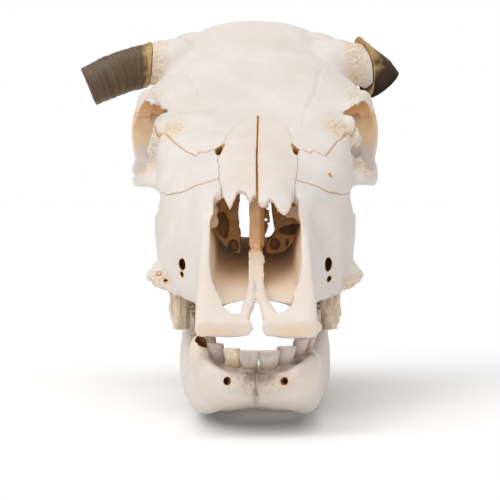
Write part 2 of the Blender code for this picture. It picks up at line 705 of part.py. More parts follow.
def jaw_branch(side):
    rings = []
    for height, front, back, out, half in smooth_rows(JAW_BRANCH, 24):
        middle, reach = (front + back) / 2, (back - front) / 2
        ring = []
        for step in range(20):
            angle = 2 * pi * step / 20
            ring.append((side * out + half * sin(angle), middle - reach * cos(angle), height))
        rings.append(ring)
    return loft("branch", rings)


def bite_height(y):
    """Height over the floor of the upper teeth's chewing edge at a place along the jaw."""
    back = (y + UPPER_TOOTH_DROP * sin(HEAD_TILT)) / cos(HEAD_TILT)
    return HEAD_LIFT + back * sin(HEAD_TILT) + UPPER_TOOTH_DROP * cos(HEAD_TILT)


def lower_row_out(y):
    return 0.0430 + 0.075 * (y - LOWER_ROW[0])


def incisor(out, back, top, width):
    """A spade-shaped front tooth that leans forward."""
    rings = []
    for share, wide, deep in INCISOR_RINGS:
        x = out * (0.88 + 0.12 * share)
        y = back + INCISOR_LEAN * (1 - share)
        z = top - INCISOR_HEIGHT * (1 - share)
        turns = [2 * pi * k / 12 for k in range(12)]
        rings.append([(x + 0.5 * width * wide * cos(a), y + deep * sin(a), z) for a in turns])
    return loft("incisor", rings)


def jaw_whole():
    things = [lengthwise_loft("chin", CHIN, chin_section)]
    for side in (-1, 1):
        things.append(lengthwise_loft("body", JAW_BODY, jaw_section(side)))
        things.append(jaw_branch(side))
        things.append(egg("hinge", on_side(side, JAW_HINGE), (0.020, 0.0095, 0.0085)))
        things.append(rod("hook", line_on_side(side, JAW_HOOK), [0.014, 0.010, 0.004], 0.45))
        things.extend(cheek_teeth(side, lambda y: bite_height(y) - LOWER_TOOTH_HEIGHT,
                                  lambda y: bite_height(y - 0.007) - BITE_GAP, lower_row_out, *LOWER_ROW))
    for row in INCISORS:
        things.append(incisor(*row))
    whole = fused("jaw", things, FUSE_VOXEL * 0.6)
    hollows = [egg("socket", LOST_TOOTH, (0.0045, 0.006, 0.010))]
    for side in (-1, 1):
        hollows.append(egg("chin_hole", on_side(side, CHIN_HOLE), CHIN_HOLE_RADII, (0, 0, -side * 0.5)))
    carved(whole, hollows)
    return softened(whole, SHAPE_VOXEL * 0.8, 2)


# ---------------------------------------------------------------- putting it together
BONE_MIDDLES = {"frontal": (0.0, 0.360, 0.155), "braincase": (0.0, 0.390, 0.080)}
JAW_MIDDLES = {}
for word, way in (("left", -1), ("right", 1)):
    BONE_MIDDLES["premaxilla_" + word] = (way * 0.024, 0.080, 0.035)
    BONE_MIDDLES["nasal_" + word] = (way * 0.017, 0.205, 0.102)
    BONE_MIDDLES["maxilla_" + word] = (way * 0.046, 0.185, 0.030)
    BONE_MIDDLES["lacrimal_" + word] = (way * 0.066, 0.250, 0.095)
    BONE_MIDDLES["cheek_" + word] = (way * 0.082, 0.310, 0.085)
    JAW_MIDDLES["jaw_" + word] = (way * 0.050, 0.210, 0.120)


def material(name, finish):
    colour, roughness = finish
    made = bpy.data.materials.new(name)
    made.use_nodes = True
    shader = made.node_tree.nodes["Principled BSDF"]
    shader.inputs["Base Color"].default_value = colour
    shader.inputs["Roughness"].default_value = roughness
    return made


def placed(things, parent, collection):
    for thing in things:
        thing.parent = parent
        bpy.context.scene.collection.objects.unlink(thing)
        collection.objects.link(thing)


def flat_foot(jaw):
    """The jaw's underside levelled to the floor it lies on."""
    return carved(jaw, [box("floor_room", (-0.2, -0.1, -0.05), (0.2, 0.6, 0.0))])


def build_skull():
    for thing in list(bpy.data.objects):
        bpy.data.objects.remove(thing)
    skull = bpy.data.collections.new("bull_skull")
    bpy.context.scene.collection.children.link(skull)

    head = simplified(head_whole(), HEAD_FACES)
    carved(head, [horn_room(-1, LEFT_HORN), horn_room(1, RIGHT_HORN)])
    bones = bones_apart(head, suture_cuts(), BONE_MIDDLES)
    bones["vomer"] = vomer()
    bones["horn_left"] = horn("horn_left", LEFT_HORN)
    bones["horn_right"] = horn("horn_right", RIGHT_HORN)

    jaw = flat_foot(simplified(jaw_whole(), JAW_FACES))
    jaws = bones_apart(jaw, [sheet("chin_joint", [(0.0, -0.05), (0.0, 0.15)], -0.02, 0.12, "z")], JAW_MIDDLES)

    ground = bpy.data.objects.new("skull_place", None)
    ground.location = (MIDLINE_X, MUZZLE_Y, 0.0)
    tilt = bpy.data.objects.new("head_place", None)
    tilt.parent = ground
    tilt.location = (0.0, 0.0, HEAD_LIFT)
    tilt.rotation_euler = (HEAD_TILT, 0.0, 0.0)
    for empty in (ground, tilt):
        skull.objects.link(empty)
    placed(bones.values(), tilt, skull)
    placed(jaws.values(), ground, skull)

    finishes = {"bone": material("bone", BONE), "inner_bone": material("inner_bone", INNER_BONE),
                "horn": material("horn", HORN)}
    for name, bone in {**bones, **jaws}.items():
        kind = "horn" if name.startswith("horn") else "inner_bone" if name == "vomer" else "bone"
        bone.data.materials.clear()
        bone.data.materials.append(finishes[kind])
    bpy.context.view_layer.update()


build_skull()
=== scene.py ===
"""The bull skull as it looks: every bone, tooth and horn with its own shape and surface.

Metres, +Z up, the muzzle towards -Y. The lower jaw is shaped in the frame of the floor that it lies on,
with x = 0 in its middle and y = 0 at the muzzle. The head is shaped in its own frame, where y runs back
from the muzzle and z up from the bony palate, and is then tilted and lifted onto the jaw.
"""

import json
from math import atan, cos, pi, radians, sin

import bmesh
import bpy
import numpy as np
from mathutils import Euler, Matrix, Vector
from mathutils.bvhtree import BVHTree
from mathutils.kdtree import KDTree

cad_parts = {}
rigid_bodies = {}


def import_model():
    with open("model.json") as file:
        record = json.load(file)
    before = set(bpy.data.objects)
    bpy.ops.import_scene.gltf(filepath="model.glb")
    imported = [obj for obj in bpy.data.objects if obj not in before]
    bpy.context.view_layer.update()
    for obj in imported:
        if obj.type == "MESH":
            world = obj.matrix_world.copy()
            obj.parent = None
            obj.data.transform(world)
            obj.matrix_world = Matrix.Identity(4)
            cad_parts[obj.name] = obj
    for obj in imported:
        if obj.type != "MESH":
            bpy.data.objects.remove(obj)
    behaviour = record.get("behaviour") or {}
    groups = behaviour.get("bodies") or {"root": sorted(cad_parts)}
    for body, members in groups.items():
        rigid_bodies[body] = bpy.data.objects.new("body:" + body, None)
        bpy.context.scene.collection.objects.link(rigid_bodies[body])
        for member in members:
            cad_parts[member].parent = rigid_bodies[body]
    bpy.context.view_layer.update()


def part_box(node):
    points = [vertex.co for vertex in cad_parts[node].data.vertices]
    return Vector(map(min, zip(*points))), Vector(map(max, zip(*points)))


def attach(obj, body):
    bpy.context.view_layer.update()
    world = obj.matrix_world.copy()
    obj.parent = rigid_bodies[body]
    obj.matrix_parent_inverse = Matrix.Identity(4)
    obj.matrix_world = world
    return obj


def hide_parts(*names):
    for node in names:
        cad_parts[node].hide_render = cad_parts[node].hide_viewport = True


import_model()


# ======================================================================== lower jaw, bone
# Two halves of dense bone that meet at the chin. Each has a long body that carries the cheek teeth and an
# upright branch that ends in the hinge and the hook. It is grown from lofts, worn smooth, pitted at the
# chin, and then parted in the middle.

MIDLINE_X = (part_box("jaw_left")[1][0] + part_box("jaw_right")[0][0]) / 2
MUZZLE_Y = -0.2456
JAW_PLACE = Matrix.Translation((MIDLINE_X, MUZZLE_Y, 0.0))
JAW_GRAIN = 0.00115
LOFT_RINGS, LOOP_STEPS = 90, 6
SHARP_ANGLE = radians(48)

# How much coarser the first skin of a bone is than its last
COARSE = 1.6

# Front of the jaw: back, half width, bottom height, rim height, height of its middle
CHIN = [
    (0.006, 0.034, 0.039, 0.053, 0.050),
    (0.022, 0.0465, 0.0270, 0.062, 0.052),
    (0.045, 0.0500, 0.0195, 0.064, 0.052),
    (0.070, 0.0520, 0.0145, 0.060, 0.050),
    (0.105, 0.0540, 0.0090, 0.055, 0.047),
]

# Body: back, distance out, half thickness, bottom and top height
JAW_BODY = [
    (0.035, 0.028, 0.0140, 0.0210, 0.048),
    (0.080, 0.0400, 0.0125, 0.0100, 0.050),
    (0.120, 0.0440, 0.0125, 0.0050, 0.054),
    (0.165, 0.0462, 0.0125, 0.0020, 0.061),
    (0.225, 0.0520, 0.0135, -0.0015, 0.069),
    (0.290, 0.0550, 0.0125, -0.0020, 0.079),
    (0.345, 0.0580, 0.0095, -0.0010, 0.096),
    (0.388, 0.0605, 0.0060, 0.0240, 0.110),
]
JAW_OUTLINE = [(0, 1), (0.75, 0.90), (1, 0.62), (0.96, 0.36), (0.56, 0.12), (-0.15, 0), (-0.78, 0.08),
               (-0.96, 0.35), (-0.90, 0.65), (-0.70, 0.90)]

# Upright branch: height, front and back edge, distance out, half thickness
JAW_BRANCH = [
    (0.014, 0.320, 0.378, 0.0590, 0.0065),
    (0.060, 0.312, 0.400, 0.0625, 0.0060),
    (0.110, 0.326, 0.405, 0.0690, 0.0050),
    (0.155, 0.342, 0.408, 0.0755, 0.0045),
    (0.188, 0.350, 0.412, 0.0800, 0.0050),
]
JAW_HINGE = (0.082, 0.401, 0.2000)
JAW_HINGE_RADII = (0.020, 0.0095, 0.0085)
JAW_HOOK = [(0.079, 0.360, 0.180), (0.0775, 0.366, 0.215), (0.0765, 0.378, 0.244)]
JAW_HOOK_RADII = [0.014, 0.010, 0.004]
JAW_HOOK_SHARE = 0.45
CHIN_HOLE = (0.0245, 0.012, 0.0445)
CHIN_HOLE_RADII = (0.0024, 0.012, 0.0031)
CHIN_HOLE_TURN = 0.5
GUM_MIDDLE = (0.0016, 0.004, 0.0505)

# Pits of the chin: how far apart, how wide and how deep
CHIN_PITS = (0.0030, 0.0016, 0.0008)

# Incisors: distance out, distance back, height of the crown's top, width; the fourth left is lost
INCISORS = {
    "left_3": (-0.0315, 0.018, 0.0725, 0.0112),
    "left_2": (-0.0185, 0.010, 0.0690, 0.0118),
    "left_1": (-0.0055, 0.006, 0.0680, 0.0136),
    "right_1": (0.0105, 0.006, 0.0680, 0.0140),
    "right_2": (0.0238, 0.010, 0.0710, 0.0132),
    "right_3": (0.0355, 0.018, 0.0765, 0.0104),
    "right_4": (0.0435, 0.028, 0.0810, 0.0092),
}
LOST_TOOTH = (-0.0425, 0.024, 0.070)
LOST_TOOTH_RADII = (0.0045, 0.006, 0.010)
INCISOR_HEIGHT = 0.019


def flat(row):
    """A row's numbers in one list, its (out, up) pairs opened."""
    numbers = []
    for item in row:
        numbers.extend(item if isinstance(item, tuple) else (item,))
    return numbers


def smooth_rows(rows, count):
    """Rows of a smooth course through the given ones, count of them, evenly spaced by first value."""
    rows = np.array([flat(row) for row in rows])
    places = rows[:, 0]
    slopes = np.gradient(rows, places, axis=0) if len(rows) > 2 else np.tile(rows[1] - rows[0], (2, 1)) / (
        places[1] - places[0])
    course = []
    for place in np.linspace(places[0], places[-1], count):
        i = min(int(np.searchsorted(places, place, side="right")) - 1, len(rows) - 2)
        span = places[i + 1] - places[i]
        t = (place - places[i]) / span
        start, rise = 2 * t**3 - 3 * t**2 + 1, t**3 - 2 * t**2 + t
        end, fall = -2 * t**3 + 3 * t**2, t**3 - t**2
        course.append(start * rows[i] + rise * span * slopes[i]
                      + end * rows[i + 1] + fall * span * slopes[i + 1])
    return course


def rounded(loop):
    """A closed loop of 2-D points, drawn smoothly through the given ones."""
    drawn = []
    count = len(loop)
    for i in range(count):
        a, b, c, d = (Vector(loop[(i + k) % count]) for k in (-1, 0, 1, 2))
        for step in range(LOOP_STEPS):
            t = step / LOOP_STEPS
            drawn.append(0.5 * (2 * b + (c - a) * t + (2 * a - 5 * b + 4 * c - d) * t**2
                                + (3 * b - a - 3 * c + d) * t**3))
    return drawn


def turns(count):
    """Angles evenly spaced round a full turn."""
    return [2 * pi * k / count for k in range(count)]


def both_sides(half):
    """A closed loop from a half section, which starts at the top and ends at the bottom of the middle."""
    return half + [(-x, z) for x, z in reversed(half[1:-1])]


def add_object(name, data):
    """A new object of the scene, for a mesh, a lamp or a camera."""
    thing = bpy.data.objects.new(name, data)
    bpy.context.scene.collection.objects.link(thing)
    return thing


def object_of(name, shape):
    """An object made from a bmesh, which is then let go."""
    mesh = bpy.data.meshes.new(name)
    shape.to_mesh(mesh)
    shape.free()
    return add_object(name, mesh)


def skin(name, points, faces):
    """An object from points and faces, its faces turned outwards."""
    mesh = bpy.data.meshes.new(name)
    mesh.from_pydata([tuple(p) for p in points], [], faces)
    shape = bmesh.new()
    shape.from_mesh(mesh)
    bmesh.ops.recalc_face_normals(shape, faces=shape.faces)
    shape.to_mesh(mesh)
    shape.free()
    return add_object(name, mesh)


def loft(name, rings):
    """A closed skin over rings of 3-D points, all with the same count."""
    count = len(rings[0])
    faces = [tuple(range(count)), tuple(reversed(range((len(rings) - 1) * count, len(rings) * count)))]
    for r in range(len(rings) - 1):
        for i in range(count):
            a, b = r * count + i, r * count + (i + 1) % count
            faces.append((a, a + count, b + count, b))
    return skin(name, [p for ring in rings for p in ring], faces)


def lengthwise_loft(name, rows, section):
    """A loft along y: section turns each smooth row into its loop of (x, z) points."""
    return loft(name, [[(p.x, row[0], p.y) for p in rounded(section(row))]
                       for row in smooth_rows(rows, LOFT_RINGS)])


def egg(name, centre, radii, turn=(0, 0, 0)):
    """An ellipsoid."""
    shape = bmesh.new()
    bmesh.ops.create_uvsphere(shape, u_segments=40, v_segments=24, radius=1.0)
    thing = object_of(name, shape)
    thing.data.transform(Matrix.LocRotScale(Vector(centre), Euler(turn, "XYZ"), Vector(radii)))
    return thing


def rod(name, points, radii, flatten=1.0):
    """A tapered rod with round ends, drawn smoothly through the points; flatten thins it along x."""
    rows = [(i, *point, radius) for i, (point, radius) in enumerate(zip(points, radii))]
    course = smooth_rows(rows, 8 * len(points))
    middles = [Vector(row[1:4]) for row in course]
    sizes = [row[4] for row in course]
    ways = [(b - a).normalized() for a, b in zip(middles, middles[1:])]
    ways.append(ways[-1])
    end_angles = [pi / 2 * k / 4 for k in range(4)]
    stops = [(middles[0] - ways[0] * sizes[0] * cos(a), sizes[0] * sin(a) + 1e-5, ways[0])
             for a in end_angles]
    stops += list(zip(middles, sizes, ways))
    stops += [(middles[-1] + ways[-1] * sizes[-1] * cos(a), sizes[-1] * sin(a) + 1e-5, ways[-1])
              for a in reversed(end_angles)]
    rings = []
    for middle, size, way in stops:
        side = way.cross(Vector((0, 0, 1))) if abs(way.z) < 0.9 else way.cross(Vector((0, 1, 0)))
        side.normalize()
        up = side.cross(way)
        ring = []
        for a in turns(20):
            spoke = (side * cos(a) + up * sin(a)) * size
            spoke.x *= flatten
            ring.append(middle + spoke)
        rings.append(ring)
    return loft(name, rings)


def on_side(side, point):
    """A point given for the right, put on one side: -1 is the left."""
    return (side * point[0], *point[1:])


def line_on_side(side, points):
    """A line of points put on one side."""
    return [on_side(side, point) for point in points]


def settled(thing):
    """The object with its modifiers made part of its mesh."""
    graph = bpy.context.evaluated_depsgraph_get()
    mesh = bpy.data.meshes.new_from_object(thing.evaluated_get(graph))
    thing.modifiers.clear()
    old = thing.data
    thing.data = mesh
    bpy.data.meshes.remove(old)
    return thing


def one_of(name, things):
    """The shapes kept side by side in one object."""
    shape = bmesh.new()
    for thing in things:
        shape.from_mesh(thing.data)
        bpy.data.objects.remove(thing)
    return object_of(name, shape)


def worn_round(whole, passes, group=""):
    """The whole smoothed by so many passes, or only where the group's weight is."""
    worn = whole.modifiers.new("Worn", "SMOOTH")
    worn.factor = 0.5
    worn.iterations = passes
    worn.vertex_group = group
    return settled(whole)


def fused(name, things, grain, passes):
    """Overlapping closed shapes grown together into one skin of even grain, its edges worn round."""
    whole = one_of(name, things)
    remesh = whole.modifiers.new("Even", "REMESH")
    remesh.mode = "VOXEL"
    remesh.voxel_size = grain
    return worn_round(whole, passes)


def carved(whole, cutters):
    """The whole with each cutter's room taken out of it."""
    for cutter in cutters:
        cut = whole.modifiers.new("Cut", "BOOLEAN")
        cut.operation = "DIFFERENCE"
        cut.solver = "MANIFOLD"
        cut.object = cutter
        settled(whole)
        bpy.data.objects.remove(cutter)
    return whole


def points_of(thing, what="co"):
    """The mesh's points, or their normals, as an array."""
    points = np.empty(3 * len(thing.data.vertices))
    thing.data.vertices.foreach_get(what, points)
    return points.reshape(-1, 3)


def moved_to(thing, points):
    """The mesh with its points moved to the given places."""
    thing.data.vertices.foreach_set("co", points.ravel())
    thing.data.update()
    return thing


def pushed(thing, heights):
    """The mesh's points moved out along their normals by the given heights."""
    return moved_to(thing, points_of(thing) + points_of(thing, "normal") * np.asarray(heights)[:, None])


def eased(t):
    """A share from 0 to 1 that starts and ends gently."""
    return t * t * (3 - 2 * t)


def ramp(values, start, width):
    """0 before the start, then up to 1 over the width; a width below 0 goes the other way."""
    return np.clip((values - start) / width, 0, 1)


def unevenness(points, cell, seed):
    """Smooth noise from -1 to 1 over the points, its bumps about one cell across."""
    place = points / cell + seed * 13.7
    base = np.floor(place).astype(np.int64)
    part = eased(place - base)
    total = np.zeros(len(points))
    for corner in range(8):
        step = np.array([corner & 1, corner >> 1 & 1, corner >> 2 & 1])
        cornered = (base + step + 4096) * np.array([73856093, 19349663, 83492791])
        mixed = (cornered[:, 0] ^ cornered[:, 1] ^ cornered[:, 2] ^ (seed * 6271)) & 0xFFFFFFFF
        mixed = mixed * 2654435761 & 0xFFFFFFFF
        mixed = (mixed ^ mixed >> 15) * 2246822519 & 0xFFFFFFFF
        chance = (mixed >> 8 & 0xFFFF) / 32767.5 - 1
        total += chance * np.prod(np.where(step, part, 1 - part), axis=1)
    return total


def uneven(points, seed, *scales):
    """Smooth noise added up over its scales, each a height and a cell; their seeds follow one another."""
    return sum(height * unevenness(points, cell, seed + i) for i, (height, cell) in enumerate(scales))


def near(points, centre, radii):
    """A soft mask round a centre: 1 in it, falling to 0 at the edge of the ellipsoid."""
    away = np.linalg.norm((points - np.array(centre)) / np.array(radii), axis=1)
    return eased(np.clip(1 - away, 0, 1))


def pits(points, mask, spacing, size, depth, seed):
    """Heights of small scattered hollows, only where the mask is, each about size across."""
    heights = np.zeros(len(points))
    chosen = np.flatnonzero(mask > 0.05)
    if len(chosen) == 0:
        return heights
    chance = np.random.default_rng(seed)
    low, high = points[chosen].min(axis=0), points[chosen].max(axis=0)
    count = int(np.prod((high - low) / spacing + 1))
    middles = low + chance.random((count, 3)) * (high - low)
    tree = KDTree(count)
    for i, middle in enumerate(middles):
        tree.insert(middle, i)
    tree.balance()
    widths = size * (0.6 + 0.8 * chance.random(count))
    for i in chosen:
        _, nearest, away = tree.find(points[i])
        t = 1 - away / widths[nearest]
        if t > 0:
            heights[i] = -depth * min(1.0, 1.6 * t) * mask[i]
    return heights


def tree_of(thing):
    """A search tree over the thing's faces, kept after the thing itself is used up."""
    return BVHTree.FromPolygons([v.co.copy() for v in thing.data.vertices],
                                [tuple(face.vertices) for face in thing.data.polygons])


def beside(points, tree, reach):
    """A mask of the points on a hollow's wall: 1 within reach of the tree, 0 beyond twice that."""
    mask = np.zeros(len(points))
    for i, point in enumerate(points):
        away = tree.find_nearest(point, 2 * reach)[3]
        if away is not None:
            mask[i] = min(1.0, 2 - away / reach)
    return mask


def from_line(points, line):
    """How far each point is from a line of points."""
    nearest = np.full(len(points), 9.0)
    for a, b in zip(line, line[1:]):
        start, way = np.array(a), np.array(b) - np.array(a)
        share = np.clip((points - start) @ way / (way @ way), 0, 1)
        nearest = np.minimum(nearest, np.linalg.norm(points - start - share[:, None] * way, axis=1))
    return nearest


def near_line(points, line, reach):
    """A soft mask along a line of 3-D points: 1 on it, 0 beyond reach."""
    return eased(np.clip(1 - from_line(points, line) / reach, 0, 1))


def chin_section(row):
    """Half loop of the chin, from the sunk middle over the rim and down to the flat underside."""
    _, half, low, rim, middle = row
    return both_sides([(0.0, middle), (0.55 * half, middle + 0.15 * (rim - middle)), (0.88 * half, rim),
                       (half, rim - 0.006), (0.985 * half, 0.5 * (low + rim)), (0.88 * half, low + 0.008),
                       (0.62 * half, low + 0.0008), (0.32 * half, low), (0.0, low + 0.0020)])


def jaw_section(side):
    """The section of one side's body, for lengthwise_loft."""
    def section(row):
        _, out, half, low, high = row
        tall = high - low
        return [(side * (out + wide * half), low + up * tall) for wide, up in JAW_OUTLINE]
    return section


def jaw_branch(side):
    """The upright branch of one side."""
    rings = []
    for height, front, back, out, half in smooth_rows(JAW_BRANCH, 60):
        middle, reach = (front + back) / 2, (back - front) / 2
        rings.append([(side * out + half * sin(a), middle - reach * cos(a), height) for a in turns(36)])
    return loft("branch", rings)


def sheet(name, line, low, high, axis, thickness=0.00035, wander=0.0009, mouth=None):
    """A thin cut that wanders to both sides of its line, drawn out along axis from low to high.

    low can be a list, one for each point of the line; mouth gives shares of the line and the widths there.
    """
    points = [Vector(p) for p in line]
    lows = low if isinstance(low, list) else [low] * len(points)
    ends = np.cumsum([0.0] + [(b - a).length for a, b in zip(points, points[1:])])
    count = max(8, int(ends[-1] / 0.0010))
    middles, squares = [], []
    places = np.linspace(0, ends[-1], count)
    lows = np.interp(places, ends, lows)
    for place in places:
        i = min(int(np.searchsorted(ends, place, side="right")) - 1, len(points) - 2)
        way = (points[i + 1] - points[i]).normalized()
        middles.append(points[i] + way * (place - ends[i]))
        squares.append(Vector((-way.y, way.x)))
    spots = np.array([(m.x, m.y, 0.3) for m in middles])
    strays = wander * uneven(spots, 5, (1.0, 0.0050), (0.6, 0.0022))
    widths = np.interp(np.linspace(0, 1, count), *mouth) if mouth else np.full(count, thickness)
    order = {"x": lambda p, e: (e, p.x, p.y), "z": lambda p, e: (p.x, p.y, e)}[axis]
    corners, faces = [], []
    for middle, square, stray, width, low in zip(middles, squares, strays, widths, lows):
        for offset in (stray - width / 2, stray + width / 2):
            spot = middle + square * offset
            corners += [order(spot, low), order(spot, high)]
    for k in range(count - 1):
        a, b = 4 * k, 4 * k + 4
        faces += [(a, a + 1, b + 1, b), (a + 2, b + 2, b + 3, a + 3),
                  (a, b, b + 2, a + 2), (a + 1, a + 3, b + 3, b + 1)]
    last = 4 * (count - 1)
    faces += [(0, 2, 3, 1), (last, last + 1, last + 3, last + 2)]
    return skin(name, corners, faces)


def drum(name, start, end, radius):
    """A square-ended cylinder, used only to take room out of a piece."""
    way = (end - start).normalized()
    side = way.cross(Vector((0, 0, 1))).normalized()
    up = side.cross(way)
    return loft(name, [[place + (side * cos(a) + up * sin(a)) * radius for a in turns(48)]
                       for place in (start, end)])


def block(name, low, high):
    """A square block, used only to take room out of a piece."""
    corners = [(x, y, z) for x in (low[0], high[0]) for y in (low[1], high[1]) for z in (low[2], high[2])]
    faces = [(0, 1, 3, 2), (4, 6, 7, 5), (0, 4, 5, 1), (2, 3, 7, 6), (0, 2, 6, 4), (1, 5, 7, 3)]
    return skin(name, corners, faces)


def parted(whole, cuts, middles):
    """The whole parted along the cuts; each large piece takes the name of the middle nearest to its own."""
    carved(whole, cuts)
    bpy.context.view_layer.objects.active = whole
    for thing in bpy.context.scene.objects:
        thing.select_set(thing == whole)
    bpy.ops.mesh.separate(type="LOOSE")
    pieces = sorted(bpy.context.selected_objects, key=lambda piece: -len(piece.data.vertices))
    for crumb in pieces[len(middles):]:
        bpy.data.objects.remove(crumb)
    pairs = []
    for piece in pieces[:len(middles)]:
        points = points_of(piece)
        middle = (points.min(axis=0) + points.max(axis=0)) / 2
        pairs += [(np.linalg.norm(middle - np.array(middles[name])), name, piece) for name in middles]
    named = {}
    for _, name, piece in sorted(pairs, key=lambda pair: pair[0]):
        if name not in named and piece not in named.values():
            named[name] = piece
    return named


def masked(piece, masks):
    """The piece with each named mask, a number at every point, for its material to read."""
    for name, values in masks.items():
        layer = piece.data.attributes.new(name, "FLOAT", "POINT")
        layer.data.foreach_set("value", np.clip(values, 0, 1).astype(np.float32))
    return piece


def sharp_at_cuts(piece):
    """The piece shaded smooth but for the edges of its cuts."""
    piece.data.shade_smooth()
    piece.data.set_sharp_from_angle(angle=SHARP_ANGLE)


def new_group(name, inputs, outputs):
    """An empty shader node group, with its named inputs (and what they are) and outputs."""
    group = bpy.data.node_groups.new(name, "ShaderNodeTree")
    for socket, (kind, value) in inputs.items():
        made = group.interface.new_socket(socket, in_out="INPUT", socket_type=kind)
        made.default_value = value
    for socket, kind in outputs.items():
        group.interface.new_socket(socket, in_out="OUTPUT", socket_type=kind)
    return group, group.nodes.new("NodeGroupInput"), group.nodes.new("NodeGroupOutput")


class Wiring:
    """Places shader nodes in a tree and joins them by name."""

    def __init__(self, tree):
        self.tree = tree

    def node(self, kind, settings=(), **inputs):
        """A new node with its settings and inputs; _0 stands for the first input, a _ for a space."""
        made = self.tree.nodes.new("ShaderNode" + kind)
        for name, value in dict(settings).items():
            setattr(made, name, value)
        for name, value in inputs.items():
            self.feed(made, int(name[1:]) if name[0] == "_" else name.replace("_", " "), value)
        return made

    def feed(self, node, name, value):
        socket = node.inputs[name]
        if isinstance(value, bpy.types.NodeSocket):
            self.tree.links.new(value, socket)
        else:
            socket.default_value = value

    def math(self, what, a, b):
        return self.node("Math", {"operation": what}, _0=a, _1=b).outputs[0]

    def times(self, a, b):
        return self.math("MULTIPLY", a, b)

    def mix(self, share, a, b):
        made = self.node("Mix", {"data_type": "RGBA"})
        self.feed(made, 0, share)
        self.feed(made, 6, a)
        self.feed(made, 7, b)
        return made.outputs[2]

    def spread(self, value, low, high, to_low=0.0, to_high=1.0):
        """value from low..high moved to to_low..to_high, clamped."""
        return self.node("MapRange", Value=value, From_Min=low, From_Max=high, To_Min=to_low,
                         To_Max=to_high).outputs[0]

    def noise(self, where, scale, detail, rough=0.5, distortion=0.0):
        return self.node("TexNoise", Vector=where, Scale=scale, Detail=detail, Roughness=rough,
                         Distortion=distortion).outputs[0]

    def attribute(self, name):
        return self.node("Attribute", {"attribute_name": name}).outputs["Fac"]


def bone_grain_group():
    """Dry bone close up: soft clouds of tone, fine pores, and their height."""
    number = "NodeSocketFloat"
    inputs = {"Where": ("NodeSocketVector", (0, 0, 0)), "Porous": (number, 0.0)}
    group, ends, out = new_group("BoneGrain", inputs, {"Cloud": number, "Pores": number, "Height": number})
    w = Wiring(group)
    where, porous = ends.outputs["Where"], ends.outputs["Porous"]
    cloud = w.noise(where, 28.0, 5.0, 0.55, 0.3)
    fine = w.noise(where, 900.0, 3.0, 0.6)
    small = w.node("TexVoronoi", Vector=where, Scale=620.0).outputs["Distance"]
    large = w.node("TexVoronoi", Vector=where, Scale=330.0).outputs["Distance"]
    hole = w.math("MAXIMUM", w.spread(small, 0.30, 0.12), w.spread(large, 0.36, 0.14))
    pores = w.times(hole, w.spread(porous, 0.12, 0.75))
    sparse = w.spread(w.noise(where, 160.0, 2.0), 0.66, 0.74)
    pores = w.math("MAXIMUM", pores, w.times(w.times(hole, sparse), 0.45))
    height = w.math("SUBTRACT", w.times(fine, w.spread(porous, 0.0, 1.0, 0.22, 0.6)), pores)
    w.feed(out, "Cloud", cloud)
    w.feed(out, "Pores", pores)
    w.feed(out, "Height", height)
    return group


def new_material(name):
    """A node material: itself, its shader, the wiring of its tree, and the place on the object."""
    made = bpy.data.materials.new(name)
    made.use_nodes = True
    w = Wiring(made.node_tree)
    return made, made.node_tree.nodes["Principled BSDF"], w, w.node("TexCoord").outputs["Object"]


BONE_GRAIN = bone_grain_group()
BONE_LIGHT = (0.775, 0.715, 0.672, 1)
BONE_SHADE = (0.715, 0.648, 0.590, 1)
BONE_WARM = (0.760, 0.590, 0.390, 1)
BONE_STAIN = (0.250, 0.190, 0.145, 1)
BONE_TAN = (0.800, 0.615, 0.420, 1)
# Colours of the painted shade in the hollows, from shallow to deep
PAINTED_SHADE_PEACH = (0.880, 0.660, 0.460, 1)
PAINTED_SHADE_OCHRE = (0.600, 0.320, 0.120, 1)
PAINTED_SHADE_DEEP = (0.150, 0.050, 0.014, 1)
SEAM_BROWN = (0.560, 0.350, 0.160, 1)
PORE_BROWN = (0.360, 0.220, 0.110, 1)


